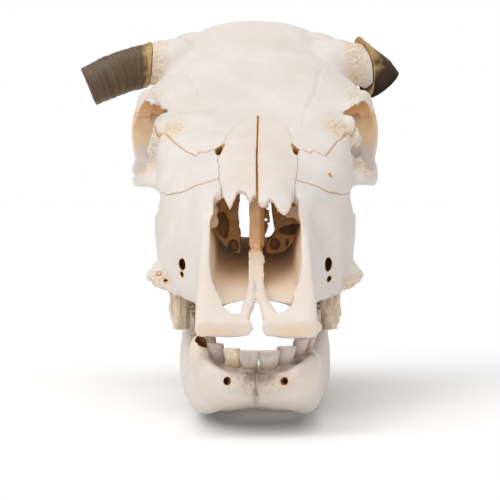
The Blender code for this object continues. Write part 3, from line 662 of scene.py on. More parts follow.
def bone_material(name, light, shade):
    """Dry bleached bone, warmer where it is porous, brown where it is stained, with painted shade from peach
    through ochre to near black in its hollows.
    """
    made, shader, w, where = new_material(name)
    porous, painted_shade = w.attribute("porous"), w.attribute("painted_shade")
    seam, stain, tan = w.attribute("seam"), w.attribute("stain"), w.attribute("tan")
    grain = w.node("Group", {"node_tree": BONE_GRAIN}, Where=where, Porous=porous)
    colour = w.mix(w.spread(grain.outputs["Cloud"], 0.35, 0.68), shade, light)
    blotch = w.noise(where, 70.0, 3.0, 0.6)
    warm = w.times(w.spread(porous, 0.1, 1.0, 0.0, 0.55), w.spread(blotch, 0.35, 0.7, 0.35, 1.0))
    colour = w.mix(warm, colour, BONE_WARM)
    # Tan is the bone's own colour, but on the muzzle and the front of the chin it is also a painted warm
    # shade
    colour = w.mix(w.times(tan, w.spread(blotch, 0.3, 0.6, 0.55, 1.0)), colour, BONE_TAN)
    # Painted shade of the hollows: peach, then ochre, then near black as the mask deepens, clouded a little
    cloudy = w.times(w.math("SUBTRACT", blotch, 0.5), w.spread(painted_shade, 0.0, 0.3, 0.0, 0.35))
    depth = w.math("ADD", painted_shade, cloudy)
    colour = w.mix(w.spread(painted_shade, 0.01, 0.13), colour, PAINTED_SHADE_PEACH)
    colour = w.mix(w.spread(depth, 0.16, 0.50), colour, PAINTED_SHADE_OCHRE)
    colour = w.mix(w.spread(depth, 0.55, 0.95), colour, PAINTED_SHADE_DEEP)
    colour = w.mix(w.times(seam, w.spread(blotch, 0.3, 0.6, 0.4, 1.0)), colour, SEAM_BROWN)
    colour = w.mix(w.times(stain, w.spread(blotch, 0.35, 0.62, 0.45, 1.0)), colour, BONE_STAIN)
    colour = w.mix(w.times(grain.outputs["Pores"], 0.62), colour, PORE_BROWN)
    w.feed(shader, "Base Color", colour)
    w.feed(shader, "Roughness", w.spread(grain.outputs["Cloud"], 0.3, 0.7, 0.62, 0.48))
    bump = w.node("Bump", Strength=0.5, Distance=0.0006, Height=grain.outputs["Height"])
    w.feed(shader, "Normal", bump.outputs[0])
    shader.inputs["Specular IOR Level"].default_value = 0.35
    return made


BONE = bone_material("dry_bone", BONE_LIGHT, BONE_SHADE)


def placed(piece, place, material, slot, *nodes):
    """The piece set in its place with its material, in place of the named solids."""
    piece.data.transform(place)
    piece.data.materials.clear()
    piece.data.materials.append(material)
    sharp_at_cuts(piece)
    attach(piece, "root")
    if nodes:
        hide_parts(*nodes)
    return piece


JAW_HOLLOWS = []

# Wall of the empty tooth socket, which rises towards the left cheek: middle and half sizes
TOOTH_WALL = ((-0.0440, 0.030, 0.0620), (0.0085, 0.016, 0.0165))


def jaw_bone():
    """Both halves of the lower jaw in one, before they are parted."""
    things = [lengthwise_loft("chin", CHIN, chin_section)]
    for side in (-1, 1):
        things.append(lengthwise_loft("body", JAW_BODY, jaw_section(side)))
        things.append(jaw_branch(side))
        things.append(egg("hinge", on_side(side, JAW_HINGE), JAW_HINGE_RADII))
        things.append(rod("hook", line_on_side(side, JAW_HOOK), JAW_HOOK_RADII, JAW_HOOK_SHARE))
    for out, back, top, width in INCISORS.values():
        things.append(egg("root", (0.93 * out, back + 0.014, top - 0.022), (0.58 * width, 0.0075, 0.0125)))
    things.append(egg("tooth_wall", *TOOTH_WALL))
    whole = fused("jaw", things, JAW_GRAIN * COARSE, 6)
    hollows = [egg("socket", LOST_TOOTH, LOST_TOOTH_RADII)]
    for side in (-1, 1):
        hollows.append(egg("chin_hole", on_side(side, CHIN_HOLE), CHIN_HOLE_RADII,
                           (0, 0, -side * CHIN_HOLE_TURN)))
    JAW_HOLLOWS.extend(tree_of(hollow) for hollow in hollows)
    carved(whole, hollows)
    whole = fused("jaw", [whole], JAW_GRAIN, 3)
    points = points_of(whole)
    chin = near(points, (0, 0.010, 0.046), (0.046, 0.050, 0.026))
    rough = pits(points, chin, *CHIN_PITS, 3)
    rough += uneven(points, 1, (0.0005, 0.020), (0.0002, 0.006))
    worn_gum = near(points, GUM_MIDDLE, (0.030, 0.022, 0.0150))
    rough += worn_gum * uneven(points, 4, (0.0007, 0.0040), (0.0004, 0.0018))
    return pushed(whole, rough)


def piece_side(points):
    """Which side a piece's points lie on."""
    return -1 if points[:, 0].mean() < 0 else 1


def jaw_masks(piece):
    """The masks of one half of the jaw: the stained gum, the joint, painted shade in the holes, the tanned
    socket, and a painted warm shade on the front of the chin.
    """
    points = points_of(piece)
    gum = np.zeros(len(points))
    for out, back, top, width in INCISORS.values():
        gum = np.maximum(gum, near(points, (0.92 * out, back + 0.006, top - 0.019), (0.010, 0.016, 0.0095)))
    gum = np.maximum(gum, 1.6 * near(points, GUM_MIDDLE, (0.027, 0.022, 0.0150)))
    gum = np.maximum(gum, 0.8 * near(points, (0.0, 0.012, 0.036), (0.0060, 0.060, 0.030)))
    seam = 0.4 * near(points, (0, 0.012, 0.040), (0.0030, 0.060, 0.030))
    # Painted shade on the walls of the lost tooth's socket and of the chin holes
    hole = np.max([beside(points, tree, 0.00035) for tree in JAW_HOLLOWS], axis=0)
    chin = near(points, (0, 0.006, 0.044), (0.040, 0.050, 0.026))
    row = near(points, (piece_side(points) * 0.047, 0.215, 0.070), (0.020, 0.110, 0.022))
    return masked(piece, {
        "porous": np.maximum(0.9 * chin, 0.6 * row),
        "painted_shade": hole,
        "seam": seam,
        "stain": np.maximum(0.95 * gum, 0.25 * chin),
        # The lost tooth's socket is tanned; the front of the chin gets a light painted warm shade
        "tan": np.maximum(0.8 * near(points, (-0.044, 0.020, 0.066), (0.014, 0.022, 0.018)),
                          0.25 * ramp(points[:, 1], 0.075, -0.04)),
    })


jaw = carved(jaw_bone(), [block("floor_room", (-0.3, -0.3, -0.1), (0.3, 0.8, 0.0))])
jaws = parted(jaw, [sheet("chin_joint", [(0.0, -0.05), (0.0, 0.15)], -0.02, 0.12, "z")],
              {"jaw_left": (-0.050, 0.210, 0.120), "jaw_right": (0.050, 0.210, 0.120)})
for node, half in jaws.items():
    half.name = "bone_" + node
    placed(jaw_masks(half), JAW_PLACE, BONE, "bone", node)


# ======================================================================== lower jaw, teeth
# Spade-shaped front teeth of enamel, worn flat on top and stained at the gum line, stand loose in the chin.
# The cheek teeth are two files of tall folded enamel blocks, set in the body of the jaw.

LOWER_ROW = (0.147, 0.284)
LOWER_TOOTH_HEIGHT = 0.022
TOOTH_COUNT = 6
TOOTH_HALF_WIDTH = 0.0095
TOOTH_LENGTH_SHARE = 0.485
TOOTH_LEVELS = 22
TOOTH_WEAR = 0.0012
WORN_FACE_SHARE = 0.82
TOOTH_SLANT = 0.007
BITE_GAP = 0.0012
HEAD_TILT = radians(9.0)
HEAD_LIFT = 0.078
UPPER_TOOTH_DROP = -0.031
INCISOR_LEAN = 0.013

# A crown from its neck to its edge: share of the height, share of the width, half depth
CROWN = [
    (-0.45, 0.56, 0.0036),
    (0.0, 0.72, 0.0040),
    (0.25, 0.90, 0.0043),
    (0.55, 1.06, 0.0038),
    (0.85, 1.12, 0.0030),
    (0.97, 1.11, 0.0024),
    (1.00, 1.04, 0.0014),
]
ENAMEL_LIGHT = (0.640, 0.545, 0.500, 1)
ENAMEL_SHADE = (0.490, 0.400, 0.355, 1)
ENAMEL_STAIN = (0.340, 0.190, 0.085, 1)
ENAMEL_CREAM = (0.840, 0.715, 0.570, 1)
ENAMEL_OCHRE = (0.560, 0.420, 0.270, 1)


def enamel_material(name, light, shade, stain_share):
    """Worn enamel: grey-white and glossy, brown towards the gum and in the folds."""
    made, shader, w, where = new_material(name)
    stain = w.attribute("stain")
    cloud = w.noise(where, 180.0, 4.0, 0.6)
    streaks = w.noise(w.node("Mapping", Vector=where, Scale=(900.0, 900.0, 90.0)).outputs[0], 1.0, 3.0, 0.6)
    colour = w.mix(w.spread(cloud, 0.3, 0.7), shade, light)
    colour = w.mix(w.times(w.spread(streaks, 0.55, 0.75), 0.35), colour, ENAMEL_STAIN)
    stained = w.math("ADD", stain, w.math("SUBTRACT", cloud, 0.5))
    brown = w.times(w.spread(stained, 0.35, 1.0), stain_share)
    colour = w.mix(brown, colour, ENAMEL_STAIN)
    w.feed(shader, "Base Color", colour)
    w.feed(shader, "Roughness", w.spread(cloud, 0.3, 0.7, 0.42, 0.26))
    bump = w.node("Bump", Strength=0.4, Distance=0.0004, Height=w.math("ADD", cloud, streaks))
    w.feed(shader, "Normal", bump.outputs[0])
    return made


ENAMEL = enamel_material("worn_enamel", ENAMEL_LIGHT, ENAMEL_SHADE, 0.75)
ENAMEL_OLD = enamel_material("stained_enamel", ENAMEL_CREAM, ENAMEL_OCHRE, 0.85)


def incisor(name, out, back, top, width, seed):
    """One spade-shaped tooth that leans forward, its edge worn flat."""
    rings = []
    for share, wide, deep in smooth_rows(CROWN, 26):
        x = out * (0.88 + 0.12 * share)
        y = back + 0.0014 + INCISOR_LEAN * (1 - share)
        z = top - INCISOR_HEIGHT * (1 - share)
        rings.append([(x + 0.5 * width * wide * np.sign(cos(a)) * abs(cos(a)) ** 0.75,
                       y + deep * np.sign(sin(a)) * abs(sin(a)) ** 0.9, z) for a in turns(40)])
    tooth = loft(name, rings)
    points = points_of(tooth)
    pushed(tooth, uneven(points, seed, (0.00025, 0.0035), (0.0001, 0.0012)))
    height = (points[:, 2] - (top - INCISOR_HEIGHT)) / INCISOR_HEIGHT
    return masked(tooth, {"stain": 1.05 - 1.35 * height})


for index, (word, row) in enumerate(INCISORS.items()):
    crown = incisor("incisor_" + word, *row, 40 + index)
    placed(crown, JAW_PLACE, ENAMEL_OLD if word == "left_2" else ENAMEL, "bone")


def bite_height(y):
    """Height over the floor of the upper teeth's chewing edge at a place along the jaw."""
    back = (y + UPPER_TOOTH_DROP * sin(HEAD_TILT)) / cos(HEAD_TILT)
    return HEAD_LIFT + back * sin(HEAD_TILT) + UPPER_TOOTH_DROP * cos(HEAD_TILT)


def lower_row_out(y):
    """How far out the lower tooth row stands at a place along the jaw."""
    return 0.0390 + 0.104 * (y - LOWER_ROW[0])


def cheek_tooth(middle, half_length, half_width, foot, edge, seed):
    """A tall tooth of two rounded lobes with folded sides; its chewing face has raised enamel ridges."""
    rings = []
    levels = np.concatenate([np.linspace(foot, edge, TOOTH_LEVELS), [edge]])
    for level, height in enumerate(levels):
        inner = WORN_FACE_SHARE if level == len(levels) - 1 else 1.0
        taper = 1 - 0.10 * (height - foot) / (edge - foot)
        ring = []
        for a in turns(72):
            along, across = cos(a), sin(a)
            pinch = 0.24 * np.exp(-(along / 0.17) ** 2) + 0.07 * np.exp(-((abs(along) - 0.5) / 0.10) ** 2)
            x = half_width * taper * inner * np.sign(across) * abs(across) ** 0.55 * (1 - pinch)
            y = half_length * inner * np.sign(along) * abs(along) ** 0.65
            dip = TOOTH_WEAR * (0.5 + 0.5 * cos(2 * a)) if level >= len(levels) - 2 else 0.0
            ring.append((middle[0] + x, middle[1] + y, height - np.sign(edge - foot) * dip))
        rings.append(ring)
    tooth = loft("cheek_tooth", rings)
    points = points_of(tooth)
    grooves = 0.0011 * unevenness(points * np.array([1, 1, 0.15]), 0.0030, seed)
    pushed(tooth, grooves + 0.0013 * unevenness(points, 0.0050, seed + 9))
    return tooth


def tooth_row(name, side, out, foot, edge, start, end, seed):
    """Six cheek teeth in file; out, foot and edge are functions of the place along the row."""
    length = (end - start) / TOOTH_COUNT
    teeth = []
    for i in range(TOOTH_COUNT):
        y = start + length * (i + 0.5)
        half_width = TOOTH_HALF_WIDTH * (0.80 + 0.07 * i)
        middle = (side * out(y), y)
        teeth.append(cheek_tooth(middle, TOOTH_LENGTH_SHARE * length, half_width, foot(y), edge(y), seed + i))
    return one_of(name, teeth)


def row_stain(piece, edge_share):
    """The stain of a row of cheek teeth: in the folds, and towards one end by the edge's share."""
    points = points_of(piece)
    span = points[:, 2] - points[:, 2].min()
    span /= span.max()
    fold = np.abs(unevenness(points * np.array([1, 1, 0.1]), 0.003, 77))
    return masked(piece, {"stain": 0.25 + 0.75 * fold + edge_share * (0.5 - span)})


for word, side in (("left", -1), ("right", 1)):
    row = tooth_row("lower_cheek_teeth_" + word, side, lower_row_out,
                    lambda y: bite_height(y) - LOWER_TOOTH_HEIGHT,
                    lambda y: bite_height(y - TOOTH_SLANT) - BITE_GAP, *LOWER_ROW, 60)
    placed(row_stain(row, 0.6), JAW_PLACE, ENAMEL_OLD, "bone")


# ======================================================================== head, the whole form
# The head grows from lofts through the face, the forehead and the braincase, with the rims, arches and
# knobs of bone added. The nose, the eye sockets and the holes are carved out of it, and the surface is worn,
# pitted and made uneven before it is parted into its bones.

HEAD_GRAIN = 0.00125
HEAD_PLACE = JAW_PLACE @ Matrix.Translation((0, 0, HEAD_LIFT)) @ Matrix.Rotation(HEAD_TILT, 4, "X")

# The eye that looks at the skull, first beside the muzzle and then in the head's frame
EYE_AWAY = Vector((-0.0045, -1.4, 0.198))
EYE = HEAD_PLACE.inverted() @ (JAW_PLACE @ EYE_AWAY)

# Muzzle and face: back, crown height, then (out, up) of the nasal edge, shoulder, crest and gum line,
# and the palate's height
FACE = [
    (0.0070, 0.0100, (0.030, 0.0110), (0.0450, 0.0085), (0.0475, 0.0030), (0.044, -0.0022), -0.0015),
    (0.0200, 0.0155, (0.030, 0.0170), (0.0462, 0.0155), (0.0468, 0.0070), (0.042, 0.0010), 0.0030),
    (0.060, 0.030, (0.030, 0.032), (0.0455, 0.031), (0.044, 0.011), (0.038, 0.001), 0.005),
    (0.105, 0.050, (0.030, 0.053), (0.0440, 0.051), (0.050, 0.018), (0.046, 0.000), 0.005),
    (0.130, 0.068, (0.030, 0.068), (0.0450, 0.062), (0.060, 0.020), (0.054, -0.001), 0.005),
    (0.165, 0.096, (0.030, 0.092), (0.0540, 0.072), (0.078, 0.022), (0.068, -0.004), 0.005),
    (0.215, 0.111, (0.033, 0.106), (0.0780, 0.083), (0.086, 0.030), (0.078, -0.005), 0.005),
    (0.270, 0.124, (0.044, 0.124), (0.0845, 0.104), (0.083, 0.048), (0.074, -0.003), 0.005),
    (0.306, 0.133, (0.052, 0.138), (0.0880, 0.120), (0.080, 0.058), (0.064, 0.006), 0.005),
]

# Forehead and braincase: back, crown height, brow half width, brow height,
# half width and height of the braincase's side, height of its base
CRANIUM = [
    (0.278, 0.125, 0.083, 0.113, 0.042, 0.088, 0.068),
    (0.318, 0.140, 0.087, 0.132, 0.046, 0.090, 0.061),
    (0.352, 0.155, 0.102, 0.142, 0.052, 0.093, 0.056),
    (0.385, 0.168, 0.101, 0.145, 0.060, 0.096, 0.052),
    (0.440, 0.191, 0.092, 0.148, 0.076, 0.096, 0.046),
    (0.465, 0.203, 0.090, 0.152, 0.098, 0.088, 0.045),
    (0.482, 0.199, 0.086, 0.152, 0.095, 0.086, 0.047),
]

# Nasal bones: back, crown height, half width, height of the outer edge
NASALS = [
    (0.100, 0.078, 0.026, 0.0735),
    (0.116, 0.083, 0.028, 0.0785),
    (0.160, 0.097, 0.031, 0.0905),
    (0.215, 0.111, 0.034, 0.1060),
    (0.292, 0.130, 0.030, 0.1280),
]
NASAL_THICKNESS = 0.0045

# Torn front edge of the nasal bones, seen from above, as (out, back)
NASAL_TIPS = [
    (-0.0345, 0.1580), (-0.0303, 0.1542), (-0.0272, 0.1488), (-0.0259, 0.1383), (-0.0248, 0.1300),
    (-0.0241, 0.1266), (-0.0227, 0.1215), (-0.0216, 0.1152), (-0.0191, 0.1185), (-0.0176, 0.1262),
    (-0.0160, 0.1323), (-0.0148, 0.1404), (-0.0128, 0.1425), (-0.0107, 0.1410), (-0.0086, 0.1383),
    (-0.0070, 0.1311), (-0.0045, 0.1281), (-0.0029, 0.1288), (-0.0012, 0.1321), (0.0004, 0.1407),
    (0.0017, 0.1321), (0.0028, 0.1220), (0.0053, 0.1189), (0.0085, 0.1195), (0.0102, 0.1233),
    (0.0119, 0.1281), (0.0135, 0.1295), (0.0151, 0.1251), (0.0174, 0.1159), (0.0206, 0.1088),
    (0.0230, 0.1076), (0.0250, 0.1089), (0.0272, 0.1150), (0.0291, 0.1269), (0.0301, 0.1382),
    (0.0314, 0.1491), (0.0334, 0.1572), (0.0355, 0.1620),
]

# Air passage of the nose: back, roof height, roof half width, (out, up) of its widest place,
# floor half width, floor height
NOSE = [
    (0.020, 0.052, 0.022, (0.0235, 0.030), 0.020, 0.0150),
    (0.060, 0.060, 0.030, (0.0345, 0.036), 0.028, 0.0150),
    (0.118, 0.0785, 0.030, (0.0370, 0.062), 0.029, 0.0175),
    (0.150, 0.0890, 0.024, (0.0375, 0.066), 0.028, 0.0190),
    (0.190, 0.0985, 0.022, (0.0387, 0.064), 0.027, 0.0210),
    (0.235, 0.0990, 0.021, (0.0397, 0.060), 0.025, 0.0220),
    (0.270, 0.0780, 0.017, (0.0305, 0.050), 0.023, 0.0220),
    (0.312, 0.0600, 0.014, (0.0230, 0.044), 0.019, 0.0200),
]

# Vault under the palate: back, half width, height of its top
VAULT = [
    (0.026, 0.020, 0.0080),
    (0.050, 0.028, 0.0095),
    (0.110, 0.030, 0.0100),
    (0.160, 0.036, 0.0110),
    (0.270, 0.042, 0.0110),
    (0.310, 0.030, 0.0090),
]

# The opening in the front of the palate, as (out, back), and how far its edge runs back under the floor
PALATE_GAP = [
    (-0.0180, 0.0195), (0.0205, 0.0195), (0.0265, 0.0250), (0.0300, 0.0380), (0.0240, 0.0530),
    (0.0150, 0.0615), (0.0060, 0.0680), (-0.0040, 0.0680), (-0.0124, 0.0615), (-0.0190, 0.0545),
    (-0.0266, 0.0420), (-0.0250, 0.0270),
]
PALATE_BEVEL = 0.048

# The gap between the two premaxillae in front, as (out, back)
PLATE_GAP = [
    (-0.0010, -0.0040), (-0.0014, 0.0095), (-0.0063, 0.0130), (-0.0066, 0.0260), (0.0094, 0.0260),
    (0.0092, 0.0130), (0.0052, 0.0095), (0.0046, -0.0040),
]

# Eye socket: its middle, its half sizes, and the turn of its mouth towards the front; then its raised rim
ORBIT_CENTRE = (0.112, 0.332, 0.107)
ORBIT_RADII = (0.054, 0.0310, 0.0310)
ORBIT_TURN = radians(14.0)
ORBIT_LEAN = radians(5.0)
ORBIT_RIM_MIDDLE = (0.0990, 0.332, 0.107)
ORBIT_RIM_RADIUS = 0.0340
ORBIT_RIM_THICKNESS = 0.0058
ORBIT_RIM_SHARES = (1.1, 0.95, 1.0)

# Mouth of each socket seen from in front, as (out, up) at one depth: ragged brow, then the broken front rim
SOCKET_DEPTH = 0.310
SOCKET_MOUTH = {
    -1: [(-0.0759, 0.1347), (-0.0809, 0.1382), (-0.0843, 0.1376), (-0.0861, 0.1418), (-0.0891, 0.1410),
         (-0.0902, 0.1431), (-0.0921, 0.1421), (-0.0941, 0.1410), (-0.0952, 0.1437), (-0.0967, 0.1452),
         (-0.0995, 0.1446), (-0.1017, 0.1460), (-0.1045, 0.1460), (-0.1081, 0.1441), (-0.1194, 0.1423),
         (-0.1250, 0.1093), (-0.1250, 0.0760), (-0.1108, 0.0752), (-0.1043, 0.0775), (-0.0979, 0.0817),
         (-0.0987, 0.0863), (-0.0959, 0.0927), (-0.0981, 0.1001), (-0.0958, 0.1066), (-0.0957, 0.1107),
         (-0.0936, 0.1150), (-0.0929, 0.1192), (-0.0920, 0.1235), (-0.0910, 0.1274), (-0.0878, 0.1313),
         (-0.0822, 0.1341)],
    1: [(0.0781, 0.1326), (0.0808, 0.1355), (0.0851, 0.1376), (0.0869, 0.1397), (0.0892, 0.1405),
        (0.0906, 0.1432), (0.0923, 0.1414), (0.0941, 0.1425), (0.0955, 0.1446), (0.0976, 0.1452),
        (0.1000, 0.1446), (0.1032, 0.1460), (0.1067, 0.1432), (0.1119, 0.1423), (0.1250, 0.1368),
        (0.1250, 0.0800), (0.1109, 0.0803), (0.1054, 0.0812), (0.1011, 0.0830), (0.1003, 0.0881),
        (0.0968, 0.0946), (0.0924, 0.0937), (0.0883, 0.0959), (0.0876, 0.1001), (0.0882, 0.1036),
        (0.0939, 0.1029), (0.0968, 0.1051), (0.0972, 0.1107), (0.0951, 0.1164), (0.0930, 0.1206),
        (0.0908, 0.1269), (0.0879, 0.1312)],
}

# Room below each cheek bone, whose lower edge is straight and sharp, seen from in front
UNDER_DEPTH = 0.300
UNDER_CHEEK = {
    -1: [(-0.1300, 0.0682), (-0.1104, 0.0684), (-0.1048, 0.0680), (-0.0978, 0.0681), (-0.0922, 0.0667),
         (-0.0880, 0.0640), (-0.0859, 0.0598), (-0.0865, 0.0537), (-0.0871, 0.0444), (-0.0959, 0.0380),
         (-0.1300, 0.0380)],
    1: [(0.1300, 0.0688), (0.1098, 0.0690), (0.1021, 0.0697), (0.0937, 0.0697), (0.0894, 0.0683),
        (0.0869, 0.0648), (0.0868, 0.0574), (0.0878, 0.0444), (0.0979, 0.0380), (0.1300, 0.0380)],
}

# Arch of the cheek below and behind the socket, the bar that closes the socket behind, the process and the
# wing of the underside, and the nape's crest, all given for the right side: line and radii
CHEEK_ARCH = ([(0.084, 0.268, 0.072), (0.098, 0.298, 0.078), (0.1045, 0.335, 0.074), (0.1050, 0.372, 0.078),
               (0.098, 0.405, 0.083), (0.080, 0.440, 0.088)],
              [0.012, 0.0125, 0.0105, 0.0095, 0.0105, 0.014])
CHEEK_CORNER = ([(0.090, 0.268, 0.0740), (0.1030, 0.300, 0.0735), (0.1060, 0.335, 0.0740)],
                [0.0080, 0.0080, 0.0075])
SOCKET_BAR = ([(0.1045, 0.362, 0.080), (0.1090, 0.367, 0.110), (0.1000, 0.366, 0.140)],
              [0.008, 0.0075, 0.010])
NECK_PROCESS = ([(0.050, 0.470, 0.070), (0.053, 0.470, 0.044), (0.047, 0.466, 0.016)], [0.015, 0.011, 0.005])
THROAT_WING = ([(0.026, 0.300, 0.028), (0.025, 0.318, 0.034), (0.028, 0.345, 0.060)], [0.007, 0.006, 0.009])
THROAT_WING_SHARE = 0.7
NAPE_CREST = ([(0.050, 0.478, 0.186), (0.084, 0.480, 0.150), (0.101, 0.470, 0.108)], [0.009, 0.0075, 0.008])

# Knobs of bone, given for the right side: middle and half sizes
KNOBS = {
    "poll_shoulder": ((0.0580, 0.468, 0.1800), (0.026, 0.013, 0.0150)),
    "tuber": ((0.078, 0.181, 0.012), (0.0115, 0.020, 0.013)),
    "gum_end": ((0.056, 0.297, 0.020), (0.018, 0.021, 0.024)),
    "bar_wing": ((0.0960, 0.3685, 0.105), (0.0125, 0.0065, 0.036)),
    "jaw_joint": ((0.083, 0.418, 0.083), (0.024, 0.017, 0.0125)),
    "condyle": ((0.024, 0.486, 0.064), (0.018, 0.016, 0.021)),
    "ear_bone": ((0.046, 0.435, 0.046), (0.015, 0.020, 0.016)),
    "mastoid": ((0.094, 0.462, 0.094), (0.017, 0.018, 0.022)),
}
CONDYLE_TURN = 0.4
POLL = ((0.001, 0.470, 0.190), (0.057, 0.014, 0.0160))
NAPE = ((0, 0.468, 0.130), (0.060, 0.022, 0.050))
NAPE_KNOB = ((0, 0.487, 0.138), (0.010, 0.009, 0.016))
BRAIN_DOOR = ([(0, 0.50, 0.088), (0, 0.455, 0.090)], [0.0165, 0.015])
TEMPLE_DOOR = ((0.077, 0.362, 0.102), (0.0135, 0.034, 0.016))

# The flat bone in front of the palate: how far the middle of both lies to the right, then as for a knob
PLATE_SHIFT = 0.0018
PLATE = ((0.0250, 0.0158, 0.0046), (0.0245, 0.0092, 0.0084))

# Blades of bone between the two halves of the palate's opening: back, (left edge, right edge) of each, height
PALATINE = [
    (0.0130, (-0.0150, -0.0045), (0.0060, 0.0205), 0.0085),
    (0.0220, (-0.0126, -0.0036), (0.0042, 0.0168), 0.0135),
    (0.0340, (-0.0113, -0.0010), (0.0026, 0.0130), 0.0172),
    (0.0500, (-0.0083, -0.0006), (0.0012, 0.0094), 0.0200),
    (0.0690, (-0.0069, -0.0004), (0.0008, 0.0077), 0.0230),
    (0.0840, (-0.0058, -0.0003), (0.0008, 0.0066), 0.0250),
]
PALATINE_HALF_THICKNESS = 0.0029

# Front of both plates, seen from in front: all beyond this outline is cut away
PLATE_DEPTH = 0.006
PLATE_FRONT = [
    (-0.0045, 0.0174), (-0.0045, 0.0119), (-0.0016, 0.0062), (-0.0060, -0.0004), (-0.0152, -0.0029),
    (-0.0320, -0.0039), (-0.0457, -0.0027), (-0.0495, 0.0005), (-0.0560, 0.0005), (-0.0560, -0.0160),
    (0.0580, -0.0160), (0.0580, 0.0018), (0.0527, 0.0018), (0.0473, -0.0003), (0.0359, -0.0026),
    (0.0260, -0.0034), (0.0146, -0.0022), (0.0077, 0.0004), (0.0041, 0.0062), (0.0065, 0.0119),
    (0.0065, 0.0174),
]

# Craggy ridge of the cheek knob over the teeth
TUBER_RIDGE = [(0.0890, 0.1740, 0.0115), (0.0820, 0.1640, 0.0090), (0.0735, 0.1600, 0.0055),
               (0.0650, 0.1480, 0.0025)]
TUBER_RIDGE_RADII = [0.0045, 0.0040, 0.0040, 0.0035]

# Small holes of vessels and nerves: place and half sizes
VESSEL_HOLES = [
    ((-0.0594, 0.146, 0.0292), (0.0040, 0.0200, 0.0054)),
    ((0.0592, 0.146, 0.0290), (0.0040, 0.0200, 0.0064)),
    ((-0.0602, 0.144, 0.0215), (0.0022, 0.0160, 0.0030)),
    ((0.0606, 0.142, 0.0172), (0.0022, 0.0140, 0.0026)),
    ((-0.0813, 0.1640, 0.0155), (0.0018, 0.005, 0.0016)),
    ((-0.0749, 0.1615, 0.0099), (0.0022, 0.005, 0.0018)),
    ((0.0643, 0.2070, 0.0931), (0.0010, 0.002, 0.0040)),
    ((0.0702, 0.4080, 0.1700), (0.0022, 0.003, 0.0030)),
]

# Open places where the nasal bone, the frontal bone and the tear bone meet, as (out, back)
CORNER_HOLES = [
    [(-0.0266, 0.2400), (-0.0346, 0.2330), (-0.0338, 0.2245), (-0.0308, 0.2190)],
    [(0.0318, 0.2415), (0.0380, 0.2345), (0.0360, 0.2235), (0.0340, 0.2250)],
]

# Horns: where each leaves the forehead, its collar, its bend and its cut end
HORN_ROOT = (0.074, 0.452, 0.166)
LEFT_HORN = [(-0.1035, 0.4555, 0.1645), (-0.134, 0.446, 0.1560), (-0.1670, 0.4300, 0.1425)]
RIGHT_HORN = [(0.1070, 0.4535, 0.1630), (0.1188, 0.4560, 0.1540), (0.1274, 0.4580, 0.1440)]

# Which way the rim of each horn sheath faces, and how far its neck runs past it
LEFT_RIM, RIGHT_RIM = (-0.98, -0.15, 0.09), (0.91, 0.40, 0.10)
PAST_RIM = 0.014
HORN_RADIUS = 0.0205
NECK_RADIUS = 0.0200

# Shallow vessel grooves that run down the forehead
BROW_GROOVES = [
    [(0.0702, 0.4072, 0.1685), (0.0618, 0.3864, 0.1638), (0.0567, 0.3451, 0.1494), (0.0455, 0.3095, 0.1369),
     (0.0429, 0.2781, 0.1272)],
    [(-0.0636, 0.3825, 0.1623), (-0.0560, 0.3600, 0.1555), (-0.0508, 0.3413, 0.1489)],
]


def bulge(start, end, share):
    """A push outwards, square to the line from start to end."""
    line = end - start
    return Vector((-line.y, line.x)) * share


def face_section(row):
    """Half loop of the face at one place, from the crown down to the palate."""
    _, crown, nasal_x, nasal_z, shoulder_x, shoulder_z, crest_x, crest_z, gum_x, gum_z, palate = row
    nasal, shoulder = Vector((nasal_x, nasal_z)), Vector((shoulder_x, shoulder_z))
    crest, gum = Vector((crest_x, crest_z)), Vector((gum_x, gum_z))
    rim = nasal.lerp(shoulder, 0.6) + bulge(nasal, shoulder, 0.12)
    cheek = shoulder.lerp(crest, 0.5) + bulge(shoulder, crest, 0.07)
    down = [tuple(place) for place in (nasal, rim, shoulder, cheek, crest, gum)]
    return both_sides([(0.0, crown), (0.52 * nasal_x, crown + 0.2 * (nasal_z - crown)), *down,
                       (0.62 * gum_x, gum_z + 0.001), (0.0, palate)])


def cranium_section(row):
    """Half loop through forehead, brow edge and braincase."""
    _, crown, brow_x, brow_z, side_x, side_z, base = row
    drop = brow_z - crown
    return both_sides([(0.0, crown), (0.32 * brow_x, crown + 0.04 * drop),
                       (0.60 * brow_x, crown + 0.22 * drop), (0.86 * brow_x, crown + 0.60 * drop),
                       (brow_x, brow_z), (0.90 * brow_x, brow_z - 0.014),
                       (side_x + 0.006, side_z + 0.024), (side_x, side_z),
                       (0.80 * side_x, 0.5 * (side_z + base) - 0.006), (0.45 * side_x, base), (0.0, base)])


def nasal_section(row):
    """Half loop of the thin roof of the nasal bones."""
    _, crown, half_width, edge = row
    return both_sides([(0.0, crown), (0.55 * half_width, crown + 0.1 * (edge - crown)), (half_width, edge),
                       (0.9 * half_width, edge - NASAL_THICKNESS), (0.0, crown - NASAL_THICKNESS)])


def nose_section(row):
    """Half loop of the air passage, from its roof to its floor."""
    _, roof, roof_x, wide_x, wide_z, floor_x, floor = row
    return both_sides([(0.0, roof), (0.55 * roof_x, roof), (roof_x, roof - 0.003), (wide_x, wide_z),
                       (0.5 * (wide_x + floor_x) + 0.001, 0.5 * (wide_z + floor)), (floor_x, floor + 0.002),
                       (0.0, floor)])


def vault_section(row):
    """Half loop of the room under the palate, open far below."""
    _, half_width, top = row
    return both_sides([(0.0, top), (0.7 * half_width, top - 0.001), (half_width, top - 0.008),
                       (half_width, -0.05), (0.0, -0.05)])


